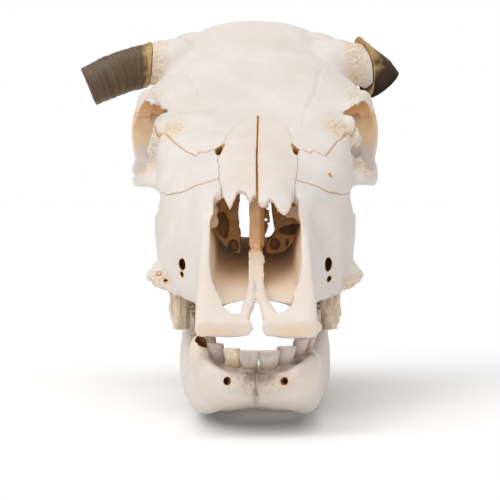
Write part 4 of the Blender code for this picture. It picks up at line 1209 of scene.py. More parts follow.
def orbit_ring(side):
    """The raised rim round the eye socket, a little shorter than high."""
    bpy.ops.mesh.primitive_torus_add(major_segments=64, minor_segments=16, major_radius=ORBIT_RIM_RADIUS,
                                     minor_radius=ORBIT_RIM_THICKNESS)
    ring = bpy.context.active_object
    facing = (Matrix.Rotation(-side * ORBIT_TURN, 4, "Z") @ Matrix.Rotation(-side * ORBIT_LEAN, 4, "Y")
              @ Matrix.Diagonal((*ORBIT_RIM_SHARES, 1.0)) @ Matrix.Rotation(pi / 2, 4, "Y"))
    ring.data.transform(Matrix.Translation(on_side(side, ORBIT_RIM_MIDDLE)) @ facing)
    return ring


def upright(name, outline, low, high):
    """A prism over an outline seen from above."""
    return loft(name, [[(x, y, low) for x, y in outline], [(x, y, high) for x, y in outline]])


def on_sight(x, z, depth, y):
    """The place at y on the eye's line of sight through (x, z) at the given depth."""
    return EYE + (Vector((x, depth, z)) - EYE) * (y - EYE.y) / (depth - EYE.y)


def looked_through(name, outline, depth, near_y, far_y):
    """A cut along the eye's lines of sight, whose outline is given as (out, up) at one depth."""
    return loft(name, [[on_sight(x, z, depth, y) for x, z in outline] for y in (near_y, far_y)])


def palate_opening():
    """The opening in the front of the palate; its back edge slopes away below."""
    under = []
    for x, y in PALATE_GAP:
        behind = max(0.0, min(1.0, (y - 0.025) / 0.012))
        under.append((x, y + PALATE_BEVEL * behind, 0.0035))
    above = [[(x, y, height) for x, y in PALATE_GAP] for height in (0.0150, 0.045)]
    return loft("palate_gap", [under, *above])


def head_side(side):
    """The knobs, rims, arches and wings of one side of the head."""
    def knob(name, turn=0.0):
        middle, radii = KNOBS[name]
        return egg(name, on_side(side, middle), radii, (0, 0, turn))

    def bar(name, line, radii, flatten=1.0):
        return rod(name, line_on_side(side, line), radii, flatten)

    (plate_out, *plate_place), plate_radii = PLATE
    return [
        orbit_ring(side),
        egg("plate", (PLATE_SHIFT + side * plate_out, *plate_place), plate_radii),
        knob("poll_shoulder"),
        knob("tuber"),
        knob("gum_end"),
        bar("nape_crest", *NAPE_CREST),
        bar("arch", *CHEEK_ARCH),
        bar("cheek_corner", *CHEEK_CORNER),
        bar("bar", *SOCKET_BAR),
        knob("bar_wing"),
        bar("tuber_ridge", TUBER_RIDGE, TUBER_RIDGE_RADII),
        knob("jaw_joint"),
        knob("condyle", side * CONDYLE_TURN),
        bar("process", *NECK_PROCESS),
        knob("ear_bone"),
        knob("mastoid"),
        bar("wing", *THROAT_WING, THROAT_WING_SHARE),
    ]


def head_hollows():
    """All that is carved out of the head, each with the name of its kind."""
    nose_front = NASAL_TIPS + [(0.0355, 0.080), (-0.0345, 0.080)]
    hollows = [("nose", lengthwise_loft("nose", NOSE, nose_section)),
               ("edge", upright("nose_front", nose_front, 0.0560, 0.125)),
               ("edge", lengthwise_loft("vault", VAULT, vault_section)),
               ("edge", palate_opening()),
               ("edge", upright("plate_gap", PLATE_GAP, -0.02, 0.045)),
               ("edge", looked_through("plate_front", PLATE_FRONT, PLATE_DEPTH, -0.012, 0.030)),
               ("hole", rod("brain_door", *BRAIN_DOOR))]
    for outline in CORNER_HOLES:
        hollows.append(("hole", upright("corner_hole", outline, 0.080, 0.130)))
    for place, radii in VESSEL_HOLES:
        hollows.append(("hole", egg("vessel_hole", place, radii)))
    for side in (-1, 1):
        hollows.append(("orbit", egg("orbit", on_side(side, ORBIT_CENTRE), ORBIT_RADII,
                                     (0, -side * ORBIT_LEAN, -side * ORBIT_TURN))))
        hollows.append(("socket", looked_through("mouth", SOCKET_MOUTH[side], SOCKET_DEPTH, 0.268, 0.353)))
        hollows.append(("edge", looked_through("under_cheek", UNDER_CHEEK[side], UNDER_DEPTH, 0.215, 0.350)))
        hollows.append(("orbit", egg("temple_door", on_side(side, TEMPLE_DOOR[0]), TEMPLE_DOOR[1])))
    return hollows


def worn_forehead(whole, passes):
    """The joins of the lofts in the forehead and the nose ridge worn away."""
    points = points_of(whole)
    top = ramp(points[:, 2], 0.085, 0.02) * ramp(points[:, 1], 0.470, -0.03)
    top *= ramp(np.abs(points[:, 0]), 0.094, -0.02) * ramp(points[:, 1], 0.15, 0.03)
    group = whole.vertex_groups.new(name="forehead")
    for weight in (0.25, 0.5, 0.75, 1.0):
        chosen = np.flatnonzero(np.abs(top - weight) <= 0.125)
        group.add(chosen.tolist(), weight, "REPLACE")
    return worn_round(whole, passes, "forehead")


def blade(side):
    """One of the two flat blades that run from the muzzle's plates back to the vomer."""
    rings = []
    rows = [(back, *(left if side < 0 else right), height) for back, left, right, height in PALATINE]
    for back, low, high, height in smooth_rows(rows, 40):
        middle, half = (low + high) / 2, (high - low) / 2
        rings.append([(middle + half * np.sign(cos(a)) * abs(cos(a)) ** 0.7, back,
                       height + PALATINE_HALF_THICKNESS * sin(a)) for a in turns(24)])
    return loft("blade", rings)


HOLLOW_TREES = []


def head_whole():
    """All of the head's bone in one, before it is parted."""
    things = [
        lengthwise_loft("face", FACE, face_section),
        lengthwise_loft("cranium", CRANIUM, cranium_section),
        lengthwise_loft("nasals", NASALS, nasal_section),
        egg("poll", *POLL),
        egg("nape", *NAPE),
        egg("nape_knob", *NAPE_KNOB),
    ]
    for root, line in ((on_side(-1, HORN_ROOT), LEFT_HORN), (HORN_ROOT, RIGHT_HORN)):
        collar = Vector(line[0])
        past = collar + (Vector(line[1]) - collar).normalized() * PAST_RIM
        things.append(rod("neck", [root, collar, past], [NECK_RADIUS * 1.25, NECK_RADIUS, NECK_RADIUS]))
    for side in (-1, 1):
        things += head_side(side)
    whole = worn_forehead(fused("head", things, HEAD_GRAIN * COARSE, 3), 40)
    hollows = head_hollows()
    HOLLOW_TREES.extend((kind, tree_of(hollow)) for kind, hollow in hollows)
    carved(whole, [hollow for _, hollow in hollows])
    for side in (-1, 1):
        whole = one_of("head", [whole, blade(side)])
    return fused("head", [whole], HEAD_GRAIN, 2)


def folded(points):
    """The points of both sides laid on the right side."""
    return points * np.array([0, 1, 1]) + np.abs(points) * np.array([1, 0, 0])


# Porous places: middle, half sizes and share
POROUS_ZONES = [
    ((0.097, 0.452, 0.160), (0.026, 0.050, 0.055), 1.0),
    ((0.090, 0.296, 0.110), (0.014, 0.024, 0.034), 1.0),
    ((0.098, 0.290, 0.086), (0.022, 0.030, 0.016), 1.0),
    ((0.080, 0.175, 0.008), (0.022, 0.040, 0.020), 1.0),
    ((0.062, 0.210, -0.004), (0.024, 0.110, 0.014), 1.0),
    ((0.096, 0.345, 0.146), (0.022, 0.030, 0.012), 1.0),
    ((0.0745, 0.288, 0.1230), (0.019, 0.024, 0.014), 1.2),
]

# Pits of the porous places: how far apart, how wide and how deep
HEAD_PITS = (0.0034, 0.0018, 0.0010)

# Tanned places, given as the porous ones
TAN_ZONES = [
    ((0.030, 0.004, 0.0035), (0.034, 0.0105, 0.0085), 1.6),
    ((0.098, 0.452, 0.160), (0.022, 0.050, 0.055), 1.0),
    ((0.080, 0.170, 0.005), (0.022, 0.034, 0.014), 0.7),
    ((0.072, 0.287, 0.120), (0.022, 0.028, 0.020), 0.8),
    ((0.096, 0.290, 0.082), (0.018, 0.026, 0.014), 0.5),
    ((0.066, 0.200, -0.006), (0.028, 0.090, 0.012), 0.7),
]


def in_zones(points, zones):
    """The strongest of the soft masks round the zones, laid on both sides."""
    right = folded(points)
    return np.max([share * near(right, middle, radii) for middle, radii, share in zones], axis=0)


def head_porous(points):
    """How porous the bone is: horn necks, socket rims, cheek knobs, gum and the brows' edges."""
    return in_zones(points, POROUS_ZONES)


def head_painted_shade(points):
    """Painted shade on the walls of the hollows, by how deep in a hollow each point lies: nose, eye sockets,
    small holes, the bar behind the socket and the throat.
    """
    y, z = points[:, 1], points[:, 2]
    painted_shade = np.zeros(len(points))
    for kind, tree in HOLLOW_TREES:
        if kind == "edge":
            continue
        # The shade painted on a wall deepens towards the back of the nose and upwards in the eye sockets,
        # under the brow; small holes are painted dark
        wall = beside(points, tree, 0.0004 if kind == "hole" else 0.0008)
        if kind == "nose":
            wall *= np.clip(0.03 + 0.20 * (y - 0.055) / 0.15, 0.0, 0.26)
        elif kind in ("orbit", "socket"):
            wall *= np.clip(0.04 + 0.46 * (z - 0.094) / 0.044, 0.02, 0.48)
            if kind == "socket":
                wall *= ramp(y, 0.335, 0.006)
        else:
            wall *= 0.78
        painted_shade = np.maximum(painted_shade, wall)
    # Painted shade on the bar that closes the socket behind, darker upwards, where it is seen through the
    # socket's mouth
    bar = ramp(y, 0.335, 0.005) * ramp(y, 0.374, -0.005) * ramp(np.abs(points[:, 0]), 0.086, 0.004)
    bar *= ramp(z, 0.072, 0.01) * ramp(z, 0.134, -0.006)
    painted_shade = np.maximum(painted_shade, bar * np.clip(0.02 + 0.40 * (z - 0.092) / 0.044, 0.01, 0.40))
    # Painted shade on the throat, seen far back through the nose
    throat = near(points, (0, 0.330, 0.045), (0.050, 0.075, 0.055))
    return np.maximum(painted_shade, 0.62 * np.clip(1.6 * throat, 0, 1))


def head_tan(points):
    """Where the bone is tanned: the muzzle's front plates, horn necks, cheek knobs, gum, brows and socket
    corners; the rest of the muzzle's front gets a painted warm shade.
    """
    # The muzzle's front gets a light painted warm shade, the warm cast of its front-facing faces in shade
    muzzle = 0.30 * ramp(points[:, 1], 0.110, -0.06)
    return np.clip(np.maximum(in_zones(points, TAN_ZONES), muzzle), 0, 1)


head = head_whole()
head_points = points_of(head)
head_right = folded(head_points)
surface = uneven(head_points, 11, (0.0006, 0.030), (0.0002, 0.008))
surface += pits(head_points, head_porous(head_points), *HEAD_PITS, 13)
rough = sum(share * near(places, middle, radii) for share, places, middle, radii in (
    (1.3, head_points, (0.0745, 0.288, 0.1230), (0.022, 0.026, 0.018)),
    (1.1, head_points, (-0.0720, 0.288, 0.1220), (0.022, 0.026, 0.018)),
    (0.9, head_right, (0.094, 0.289, 0.088), (0.020, 0.024, 0.016)),
    (1.5, head_right, (0.097, 0.453, 0.160), (0.022, 0.060, 0.065))))
slanted = head_points @ np.array([[0.45, 0.0, -0.45], [0.0, 1.0, 0.0], [1.0, 0.0, 1.0]])
surface += rough * (0.0011 * unevenness(slanted, 0.0040, 14) + 0.0008 * unevenness(head_points, 0.0021, 15))
crag = near_line(head_right, TUBER_RIDGE, 0.014)
crag += near(head_right, (0.066, 0.190, -0.004), (0.026, 0.070, 0.012))
surface += crag * uneven(head_points, 16, (0.0018, 0.0060), (0.0012, 0.0026))
plate_face = near(head_right, (0.030, 0.004, 0.0035), (0.034, 0.010, 0.009))
surface += plate_face * uneven(head_points, 18, (0.0005, 0.0030), (0.0003, 0.0016))
for groove in BROW_GROOVES:
    surface -= 0.0009 * near_line(head_points, groove, 0.0028)
pushed(head, surface)


# ======================================================================== head, its bones
# The bones of the head meet at sutures: fine wandering seams, a little sunk and stained, with small open
# holes where three bones meet. The whole head is parted along them, so each bone keeps its own piece.

BROW_BASE = [(0.246, 0.082), (0.300, 0.110), (0.360, 0.124), (0.440, 0.142), (0.53, 0.152)]
INCISIVE = [(0.130, 0.064), (0.088, 0.038), (0.055, 0.012)]
INCISIVE_TOP = [(0.126, 0.0618), (0.150, 0.078), (0.162, 0.110)]
CHEEK_TOP = [(0.164, 0.128), (0.1725, 0.0985), (0.1742, 0.0930), (0.1767, 0.0909), (0.1804, 0.0878),
             (0.1840, 0.0833), (0.1888, 0.0808), (0.1942, 0.0795), (0.2006, 0.0771), (0.225, 0.0745),
             (0.2575, 0.0755)]
CHEEK_BACK = [(0.2435, 0.0866), (0.268, 0.062), (0.300, 0.040), (0.316, 0.010)]
ARCH_JOINT = [(0.085, 0.384), (0.125, 0.378)]
NASAL_EDGE = {-1: [(0.0272, 0.100), (0.0280, 0.152), (0.0305, 0.170), (0.0312, 0.203), (0.0325, 0.2230),
                   (0.0345, 0.2345)],
              1: [(0.0312, 0.100), (0.0325, 0.160), (0.0343, 0.177), (0.0364, 0.202), (0.0368, 0.2245),
                  (0.0375, 0.2355)]}
NOSE_ROOT = {-1: [(0.0350, 0.2245), (0.0325, 0.2340), (0.0275, 0.2430), (0.0242, 0.2583), (0.0197, 0.2741),
                  (0.0135, 0.2890), (0.0020, 0.2962)],
             1: [(0.0385, 0.2262), (0.0362, 0.2345), (0.0323, 0.2430), (0.0308, 0.2648), (0.0268, 0.2817),
                 (0.0180, 0.2932), (0.0036, 0.2975)]}
NOSE_CORNER = {-1: [(0.0350, 0.2245), (0.0325, 0.2340), (0.0275, 0.2430), (0.0250, 0.2540)],
               1: [(0.0385, 0.2262), (0.0362, 0.2345), (0.0323, 0.2430), (0.0314, 0.2540)]}
TEAR_BONE = {-1: [(0.0300, 0.2290), (0.0341, 0.2335), (0.0419, 0.2308), (0.0481, 0.2338), (0.0519, 0.2285),
                  (0.0615, 0.2426), (0.0710, 0.2623), (0.0809, 0.2856), (0.096, 0.306), (0.112, 0.324)],
             1: [(0.0335, 0.2300), (0.0374, 0.2345), (0.0417, 0.2345), (0.0478, 0.2315), (0.0506, 0.2378),
                 (0.0549, 0.2357), (0.0610, 0.2330), (0.0720, 0.2640), (0.0820, 0.2870), (0.096, 0.306),
                 (0.112, 0.324)]}

# The wall between the socket and the braincase: (out, back) lines with their lowest and highest place
SOCKET_WALL = [([(0.050, 0.243), (0.050, 0.266)], 0.058, 0.0945),
               ([(0.050, 0.262), (0.050, 0.302)], 0.032, 0.117),
               ([(0.050, 0.298), (0.050, 0.304), (0.063, 0.342)], -0.06, 0.117)]
NOSE_MIDDLE = [(0.0014, 0.095), (0.0012, 0.205), (0.0028, 0.3000)]
ABOVE, BELOW, OUTSIDE = 0.26, -0.06, 0.20
PAST = 0.002
SEAM_BOTTOM = 0.066
SEAM_REACH, ROOT_SEAM_REACH, SLIT_REACH = 0.0013, 0.0014, 0.0009

# Where the seam over the cheek starts, beside the nasal bone: (back, out)
CHEEK_STARTS = {-1: ([0.2006, 0.225, 0.2575], [0.0297, 0.0285, 0.0240]),
                1: ([0.2006, 0.225, 0.2575], [0.0338, 0.0330, 0.0285])}


def side_cuts(side):
    """The sheets along the sutures of one side."""
    def upright_sheet(name, line, low, high, **form):
        return sheet(name, line_on_side(side, line), low, high, "z", **form)

    def outward_sheet(name, line, start=-PAST * side):
        return sheet(name, line, start, side * OUTSIDE, "x")

    starts = list(side * np.interp([y for y, _ in CHEEK_TOP], *CHEEK_STARTS[side]))
    return [
        upright_sheet("nasal_edge", NASAL_EDGE[side], 0.058, ABOVE),
        upright_sheet("nose_corner", NOSE_CORNER[side], 0.058, 0.0868, thickness=0.0010),
        outward_sheet("incisive", INCISIVE + [(INCISIVE[0][0] - 0.003, BELOW)]),
        outward_sheet("incisive_top", INCISIVE_TOP, side * 0.0265),
        outward_sheet("cheek_top", CHEEK_TOP, starts),
        outward_sheet("cheek_back", CHEEK_BACK + [(CHEEK_BACK[-1][0], BELOW)]),
        upright_sheet("tear_bone", TEAR_BONE[side], 0.0685, ABOVE),
        *(upright_sheet("socket_wall", *wall) for wall in SOCKET_WALL),
        upright_sheet("arch_joint", ARCH_JOINT, 0.050, 0.106),
    ]


def suture_cuts():
    """Thin wandering sheets along the sutures. Each runs a little past the one it meets."""
    around_root = line_on_side(-1, NOSE_ROOT[-1]) + NOSE_ROOT[1][::-1]
    return [
        sheet("nose_line", NOSE_MIDDLE, 0.060, ABOVE, "z", wander=0.0004,
              mouth=([0.0, 0.18, 0.5, 1.0], [0.0024, 0.0012, 0.0008, 0.0005])),
        sheet("palate_line", [(0.0, 0.0600), (0.0, 0.3300)], BELOW, 0.062, "z"),
        sheet("brow_base", BROW_BASE, -OUTSIDE, OUTSIDE, "x"),
        sheet("nose_side", [(0.220, 0.0690), (0.252, 0.0850)], -0.0680, 0.0680, "x"),
        sheet("nose_root", around_root, 0.0842, ABOVE, "z", thickness=0.00015),
        *side_cuts(-1),
        *side_cuts(1),
    ]


BONE_MIDDLES = {"frontal": (0.0, 0.360, 0.155), "braincase": (0.0, 0.390, 0.080)}
for word, side in (("left", -1), ("right", 1)):
    BONE_MIDDLES["premaxilla_" + word] = (side * 0.024, 0.080, 0.035)
    BONE_MIDDLES["nasal_" + word] = (side * 0.017, 0.205, 0.102)
    BONE_MIDDLES["maxilla_" + word] = (side * 0.046, 0.185, 0.030)
    BONE_MIDDLES["lacrimal_" + word] = (side * 0.066, 0.250, 0.095)
    BONE_MIDDLES["cheek_" + word] = (side * 0.082, 0.310, 0.085)


def head_masks(piece):
    """The masks of one bone: its sutures, painted shade in its hollows and along the middle slit of the nasal
    bones, its porous, tanned and stained places.
    """
    points = points_of(piece)
    plan = points[:, :2]
    upper = points[:, 2] > SEAM_BOTTOM
    seam = np.zeros(len(points))
    for side in (-1, 1):
        tear = np.minimum(from_line(plan, line_on_side(side, TEAR_BONE[side])) + 9 * (points[:, 2] < 0.085),
                          from_line(points[:, 1:], CHEEK_TOP[:9]) + 9 * (points[:, 0] * side < 0.030))
        root = np.minimum(from_line(plan, line_on_side(side, NOSE_ROOT[side])),
                          from_line(plan, line_on_side(side, NASAL_EDGE[side])))
        seam = np.maximum(seam, 1.0 * np.clip(1 - tear / SEAM_REACH, 0, 1) * upper)
        seam = np.maximum(seam, 0.2 * np.clip(1 - root / ROOT_SEAM_REACH, 0, 1) * upper)
    # Painted shade along the open slit between the two nasal bones
    slit = np.clip(1.5 - from_line(plan, NOSE_MIDDLE) / SLIT_REACH, 0, 1) * upper * (points[:, 1] < 0.302)
    gum = near(folded(points), (0.066, 0.215, -0.006), (0.026, 0.090, 0.012))
    return masked(piece, {
        "porous": head_porous(points),
        "painted_shade": np.maximum(head_painted_shade(points), 0.78 * slit),
        "tan": head_tan(points),
        "seam": seam,
        "stain": 0.5 * gum,
    })


horn_rooms = []
for line, rim in ((LEFT_HORN, LEFT_RIM), (RIGHT_HORN, RIGHT_RIM)):
    collar, facing = Vector(line[0]), Vector(rim).normalized()
    horn_rooms.append(drum("horn_room", collar - facing * 0.0006, collar + facing * 0.05, 0.040))
carved(head, horn_rooms)
bones = parted(head, suture_cuts(), BONE_MIDDLES)
NASAL_LIGHT = (0.780, 0.712, 0.655, 1)
NASAL_SHADE = (0.720, 0.640, 0.565, 1)
NASAL_BONE = bone_material("nasal_bone", NASAL_LIGHT, NASAL_SHADE)
for node, bone in bones.items():
    bone.name = "bone_" + node
    finish = NASAL_BONE if node.startswith("nasal") else BONE
    placed(head_masks(bone), HEAD_PLACE, finish, "bone", node)


# ======================================================================== upper cheek teeth
# Two files of tall folded enamel blocks, rooted in the maxillae and worn to a slant on the chewing face.

UPPER_ROW = (0.150, 0.287)
UPPER_TOOTH_FOOT = 0.006


def upper_row_out(y):
    """How far out the upper tooth row stands at a place along the face."""
    t = (y - UPPER_ROW[0]) / (UPPER_ROW[1] - UPPER_ROW[0])
    return 0.0610 + 0.019 * t - 0.017 * t * t


for word, side in (("left", -1), ("right", 1)):
    row = tooth_row("upper_cheek_teeth_" + word, side, upper_row_out, lambda y: UPPER_TOOTH_FOOT,
                    lambda y: UPPER_TOOTH_DROP, *UPPER_ROW, 80)
    placed(row_stain(row, -0.6), HEAD_PLACE, ENAMEL_OLD, "bone", "maxilla_" + word)


# ======================================================================== vomer and inner nose
# A brittle plate of bone stands upright in the middle of the nose, torn in front; painted shade makes it
# ochre behind its torn front. Thin scrolls of bone hang beside it, broken, where the nose's inner folds were;
# painted shade makes them brown, and dark sheets behind them stand for the deep nose.

VOMER = [
    (0.0860, 0.0022, 0.0186, 0.0225),
    (0.1300, 0.0026, 0.0200, 0.0340),
    (0.1600, 0.0030, 0.0212, 0.0640),
    (0.2000, 0.0030, 0.0226, 0.0780),
    (0.3000, 0.0028, 0.0232, 0.0560),
]

# Torn leaves of bone in the nose, seen from in front: outline and holes as (out, up), their depth in the
# nose and how far they lean back, thickness, how much they are bent
FRONT_LEAF = ([(-0.0055, 0.0485), (0.0056, 0.0485), (0.0084, 0.0378), (0.0072, 0.0365), (0.0076, 0.0270),
               (0.0068, 0.0204), (0.0036, 0.0179), (0.0008, 0.0175), (-0.0004, 0.0154), (-0.0029, 0.0175),
               (-0.0057, 0.0196), (-0.0063, 0.0320)], [], 0.1040, 1.55, 0.0030, 0.0010, 21)
UPPER_LEAF = ([(-0.0049, 0.0900), (0.0079, 0.0900), (0.0078, 0.0431), (0.0038, 0.0380), (-0.0028, 0.0372),
               (-0.0053, 0.0440)], [], 0.1450, 0.45, 0.0030, 0.0012, 25)
KNOB = ((0.0012, 0.1370, 0.0430), (0.0042, 0.0036, 0.0046))
LEAF_GRAIN = 0.0007
VOMER_GRAIN = 0.0008
TORN_FRONT_END = 0.134


def vomer_section(row):
    """Half loop of the upright plate, pinched in its middle."""
    _, half, low, high = row
    return both_sides([(0.0, high), (0.8 * half, high - 0.002), (half, 0.6 * high + 0.4 * low),
                       (0.7 * half, 0.4 * high + 0.6 * low), (0.9 * half, low + 0.002), (0.0, low)])


def along_sight(outline, depth, lean, shift):
    """The outline, given at one depth, laid on a plane that leans back, along the eye's lines of sight."""
    middle = sum(z for _, z in outline) / len(outline)
    return [on_sight(x, z, depth, depth + lean * (z - middle) + shift) for x, z in outline]


def torn_leaf(name, outline, holes, depth, lean, thickness, bend, seed):
    """A thin torn leaf of bone that stands across the nose."""
    leaf = loft(name, [along_sight(outline, depth, lean, shift) for shift in (0.0, thickness)])
    gaps = [[along_sight(hole, depth, 0.0, shift) for shift in (-0.03, 0.03)] for hole in holes]
    carved(leaf, [loft("gap", rings) for rings in gaps])
    leaf = fused(name, [leaf], LEAF_GRAIN, 2)
    points = points_of(leaf)
    across = points * np.array([1, 0, 1])
    points[:, 1] += uneven(across, seed, (bend, 0.011), (0.3 * bend, 0.004))
    points[:, 0] += 0.0004 * unevenness(points, 0.004, seed + 2)
    points[:, 2] += 0.0004 * unevenness(points, 0.003, seed + 3)
    return moved_to(leaf, points)


vomer_parts = [lengthwise_loft("plate", VOMER, vomer_section), torn_leaf("front_leaf", *FRONT_LEAF),
               torn_leaf("upper_leaf", *UPPER_LEAF), egg("knob", *KNOB)]
vomer = fused("bone_vomer", vomer_parts, VOMER_GRAIN, 2)
plate = points_of(vomer)
pushed(vomer, uneven(plate, 31, (0.0002, 0.009), (0.0001, 0.0025)) - 0.0001)
plate = points_of(vomer)
# The plate is pale and tanned at its torn front; behind, it carries painted shade, deeper on a strip of its
# right side, which is turned from the light
pale = ramp(plate[:, 1], TORN_FRONT_END, -0.006)
strip = ramp(plate[:, 0], 0.0030, 0.0016) * (1 - pale)
masked(vomer, {"porous": np.full(len(plate), 0.2), "painted_shade": (1 - pale) * (0.36 + 0.32 * strip) + 0.02 * pale,
               "tan": 0.55 * pale + 0.10 * unevenness(plate, 0.01, 23) * pale})
placed(vomer, HEAD_PLACE, BONE, "inner_bone", "vomer")


def oval(middle, out, up, count=14):
    """An oval outline as (out, up)."""
    return [(middle[0] + out * cos(a), middle[1] + up * sin(a)) for a in turns(count)]


LEFT_OUTLINE = [(-0.0420, 0.0470), (-0.0320, 0.0400), (-0.0251, 0.0325), (-0.0191, 0.0272), (-0.0131, 0.0262),
                (-0.0122, 0.0400), (-0.0135, 0.0470), (-0.0148, 0.0601), (-0.0131, 0.0731), (-0.0125, 0.0880),
                (-0.0165, 0.0950), (-0.0284, 0.0950), (-0.0400, 0.0850), (-0.0430, 0.0540)]
RIGHT_OUTLINE = [(0.0440, 0.0490), (0.0359, 0.0418), (0.0299, 0.0330), (0.0230, 0.0272), (0.0136, 0.0255),
                 (0.0093, 0.0278), (0.0101, 0.0365), (0.0144, 0.0400), (0.0170, 0.0453), (0.0152, 0.0540),
                 (0.0135, 0.0688), (0.0109, 0.0818), (0.0120, 0.0950), (0.0314, 0.0950), (0.0430, 0.0850),
                 (0.0450, 0.0557)]
LEFT_RECESS = [(-0.0328, 0.0610), (-0.0268, 0.0627), (-0.0225, 0.0557), (-0.0225, 0.0453), (-0.0251, 0.0383),
               (-0.0311, 0.0435), (-0.0337, 0.0488)]
RIGHT_RECESS = [(0.0187, 0.0461), (0.0238, 0.0505), (0.0315, 0.0523), (0.0393, 0.0523), (0.0402, 0.0461),
                (0.0350, 0.0428), (0.0295, 0.0425), (0.0225, 0.0440)]
RIGHT_SLIT = [(0.0262, 0.0383), (0.0276, 0.0405), (0.0288, 0.0385), (0.0282, 0.0325), (0.0264, 0.0330)]
LEFT_EDGE = [(-0.0400, 0.0800), (-0.0344, 0.0770), (-0.0311, 0.0708), (-0.0324, 0.0657), (-0.0307, 0.0607),
             (-0.0320, 0.0556), (-0.0400, 0.0540)]
RIGHT_EDGE = [(0.0173, 0.0665), (0.0215, 0.0673), (0.0274, 0.0622), (0.0325, 0.0622), (0.0384, 0.0562),
              (0.0425, 0.0536), (0.0425, 0.0700), (0.0350, 0.0725), (0.0249, 0.0716), (0.0182, 0.0707)]
SHELL = [(0.0056, 0.0480), (0.0058, 0.0735), (0.0095, 0.0740), (0.0120, 0.0700), (0.0118, 0.0640),
         (0.0124, 0.0590), (0.0108, 0.0520), (0.0085, 0.0470)]
LEFT_HOLE = oval((-0.0187, 0.0332), 0.0050, 0.0058)
RIGHT_HOLE = oval((0.0170, 0.0345), 0.0045, 0.0055)
SHELL_HOLES = [oval((0.0105, 0.0690), 0.0012, 0.0014, 8), oval((0.0088, 0.0595), 0.0012, 0.0014, 8),
               oval((0.0110, 0.0560), 0.0010, 0.0012, 8)]

# name: the leaf as above, then how much painted shade it carries and how tanned it is. The two shade sheets
# behind the torn leaves are no bone, but dark sheets standing as painted shade of the deep nose.
INNER_LEAVES = {
    "inner_leaf_left": ((LEFT_OUTLINE, [LEFT_RECESS, LEFT_HOLE], 0.196, 0.2, 0.0022, 0.003, 51), 0.46, 0.0),
    "inner_leaf_right": ((RIGHT_OUTLINE, [RIGHT_RECESS, RIGHT_HOLE, RIGHT_SLIT],
                          0.196, 0.2, 0.0022, 0.003, 55), 0.48, 0.0),
    "painted_shade_sheet_left": ((LEFT_OUTLINE, [], 0.212, 0.2, 0.0020, 0.002, 61), 0.70, 0.0),
    "painted_shade_sheet_right": ((RIGHT_OUTLINE, [RIGHT_SLIT], 0.212, 0.2, 0.0020, 0.002, 65), 0.70, 0.0),
    "torn_edge_left": ((LEFT_EDGE, [], 0.165, 0.3, 0.0022, 0.003, 71), 0.10, 0.6),
    "torn_edge_right": ((RIGHT_EDGE, [], 0.170, 0.3, 0.0022, 0.003, 75), 0.10, 0.6),
    "inner_shell": ((SHELL, SHELL_HOLES, 0.176, 0.2, 0.0012, 0.002, 59), 0.70, 0.0),
}
for name, (shape, depth, tan) in INNER_LEAVES.items():
    leaf = torn_leaf(name, *shape)
    spots = points_of(leaf)
    masked(leaf, {"porous": np.full(len(spots), 0.3), "painted_shade": depth + 0.08 * unevenness(spots, 0.010, 81),
                  "tan": np.full(len(spots), tan)})
    placed(leaf, HEAD_PLACE, BONE, "inner_bone")


# ======================================================================== horns
# Blunt sheaths of dark horn over the bony necks, ringed across by growth and sawn off square. The rim at
# the collar is thin, ragged and yellower.

HORN_RIM = (0.560, 0.360, 0.150, 1)
HORN_STEPS = 120
CUT_SHARES = (0.985, 0.95, 0.85, 0.72, 0.6, 0.48, 0.36, 0.25, 0.14, 0.05)

# Colours of dark bands, light bands and base, and the shine
GREY = ((0.050, 0.034, 0.021, 1), (0.210, 0.145, 0.088, 1), (0.110, 0.062, 0.028, 1), 0.3)
BLACK = ((0.006, 0.004, 0.003, 1), (0.028, 0.019, 0.011, 1), (0.090, 0.045, 0.018, 1), 0.2)


def horn_material(name, dark, light, base, shine):
    """Horn in bands across its length, with fine fibres, its base browner and its rim ochre."""
    made, shader, w, where = new_material(name)
    along, rim = w.attribute("along"), w.attribute("rim")
    cloud = w.noise(where, 60.0, 4.0, 0.6)
    band_place = w.node("CombineXYZ", X=w.times(along, 90.0), Y=w.times(cloud, 2.2))
    rings = w.noise(band_place.outputs[0], 1.0, 5.0, 0.7)
    fibres = w.noise(w.node("Mapping", Vector=where, Scale=(500.0, 500.0, 1600.0)).outputs[0], 1.0, 3.0, 0.7)
    colour = w.mix(w.spread(rings, 0.34, 0.66), dark, light)
    towards_base = w.times(w.spread(along, 0.5, 0.0), w.spread(cloud, 0.3, 0.6, 0.4, 1.0))
    colour = w.mix(towards_base, colour, base)
    colour = w.mix(w.times(w.spread(fibres, 0.50, 0.75), 0.55), colour, light)
    colour = w.mix(w.times(w.spread(along, 0.495, 0.515), 0.6), colour, dark)
    colour = w.mix(w.times(rim, w.spread(cloud, 0.3, 0.5, 0.5, 1.0)), colour, HORN_RIM)
    w.feed(shader, "Base Color", colour)
    w.feed(shader, "Roughness", w.spread(rings, 0.3, 0.7, 0.55, 0.40))
    shader.inputs["Specular IOR Level"].default_value = shine
    height = w.math("ADD", w.times(rings, 0.8), w.times(fibres, 0.3))
    bump = w.node("Bump", Strength=0.6, Distance=0.0008, Height=height)
    w.feed(shader, "Normal", bump.outputs[0])
    return made


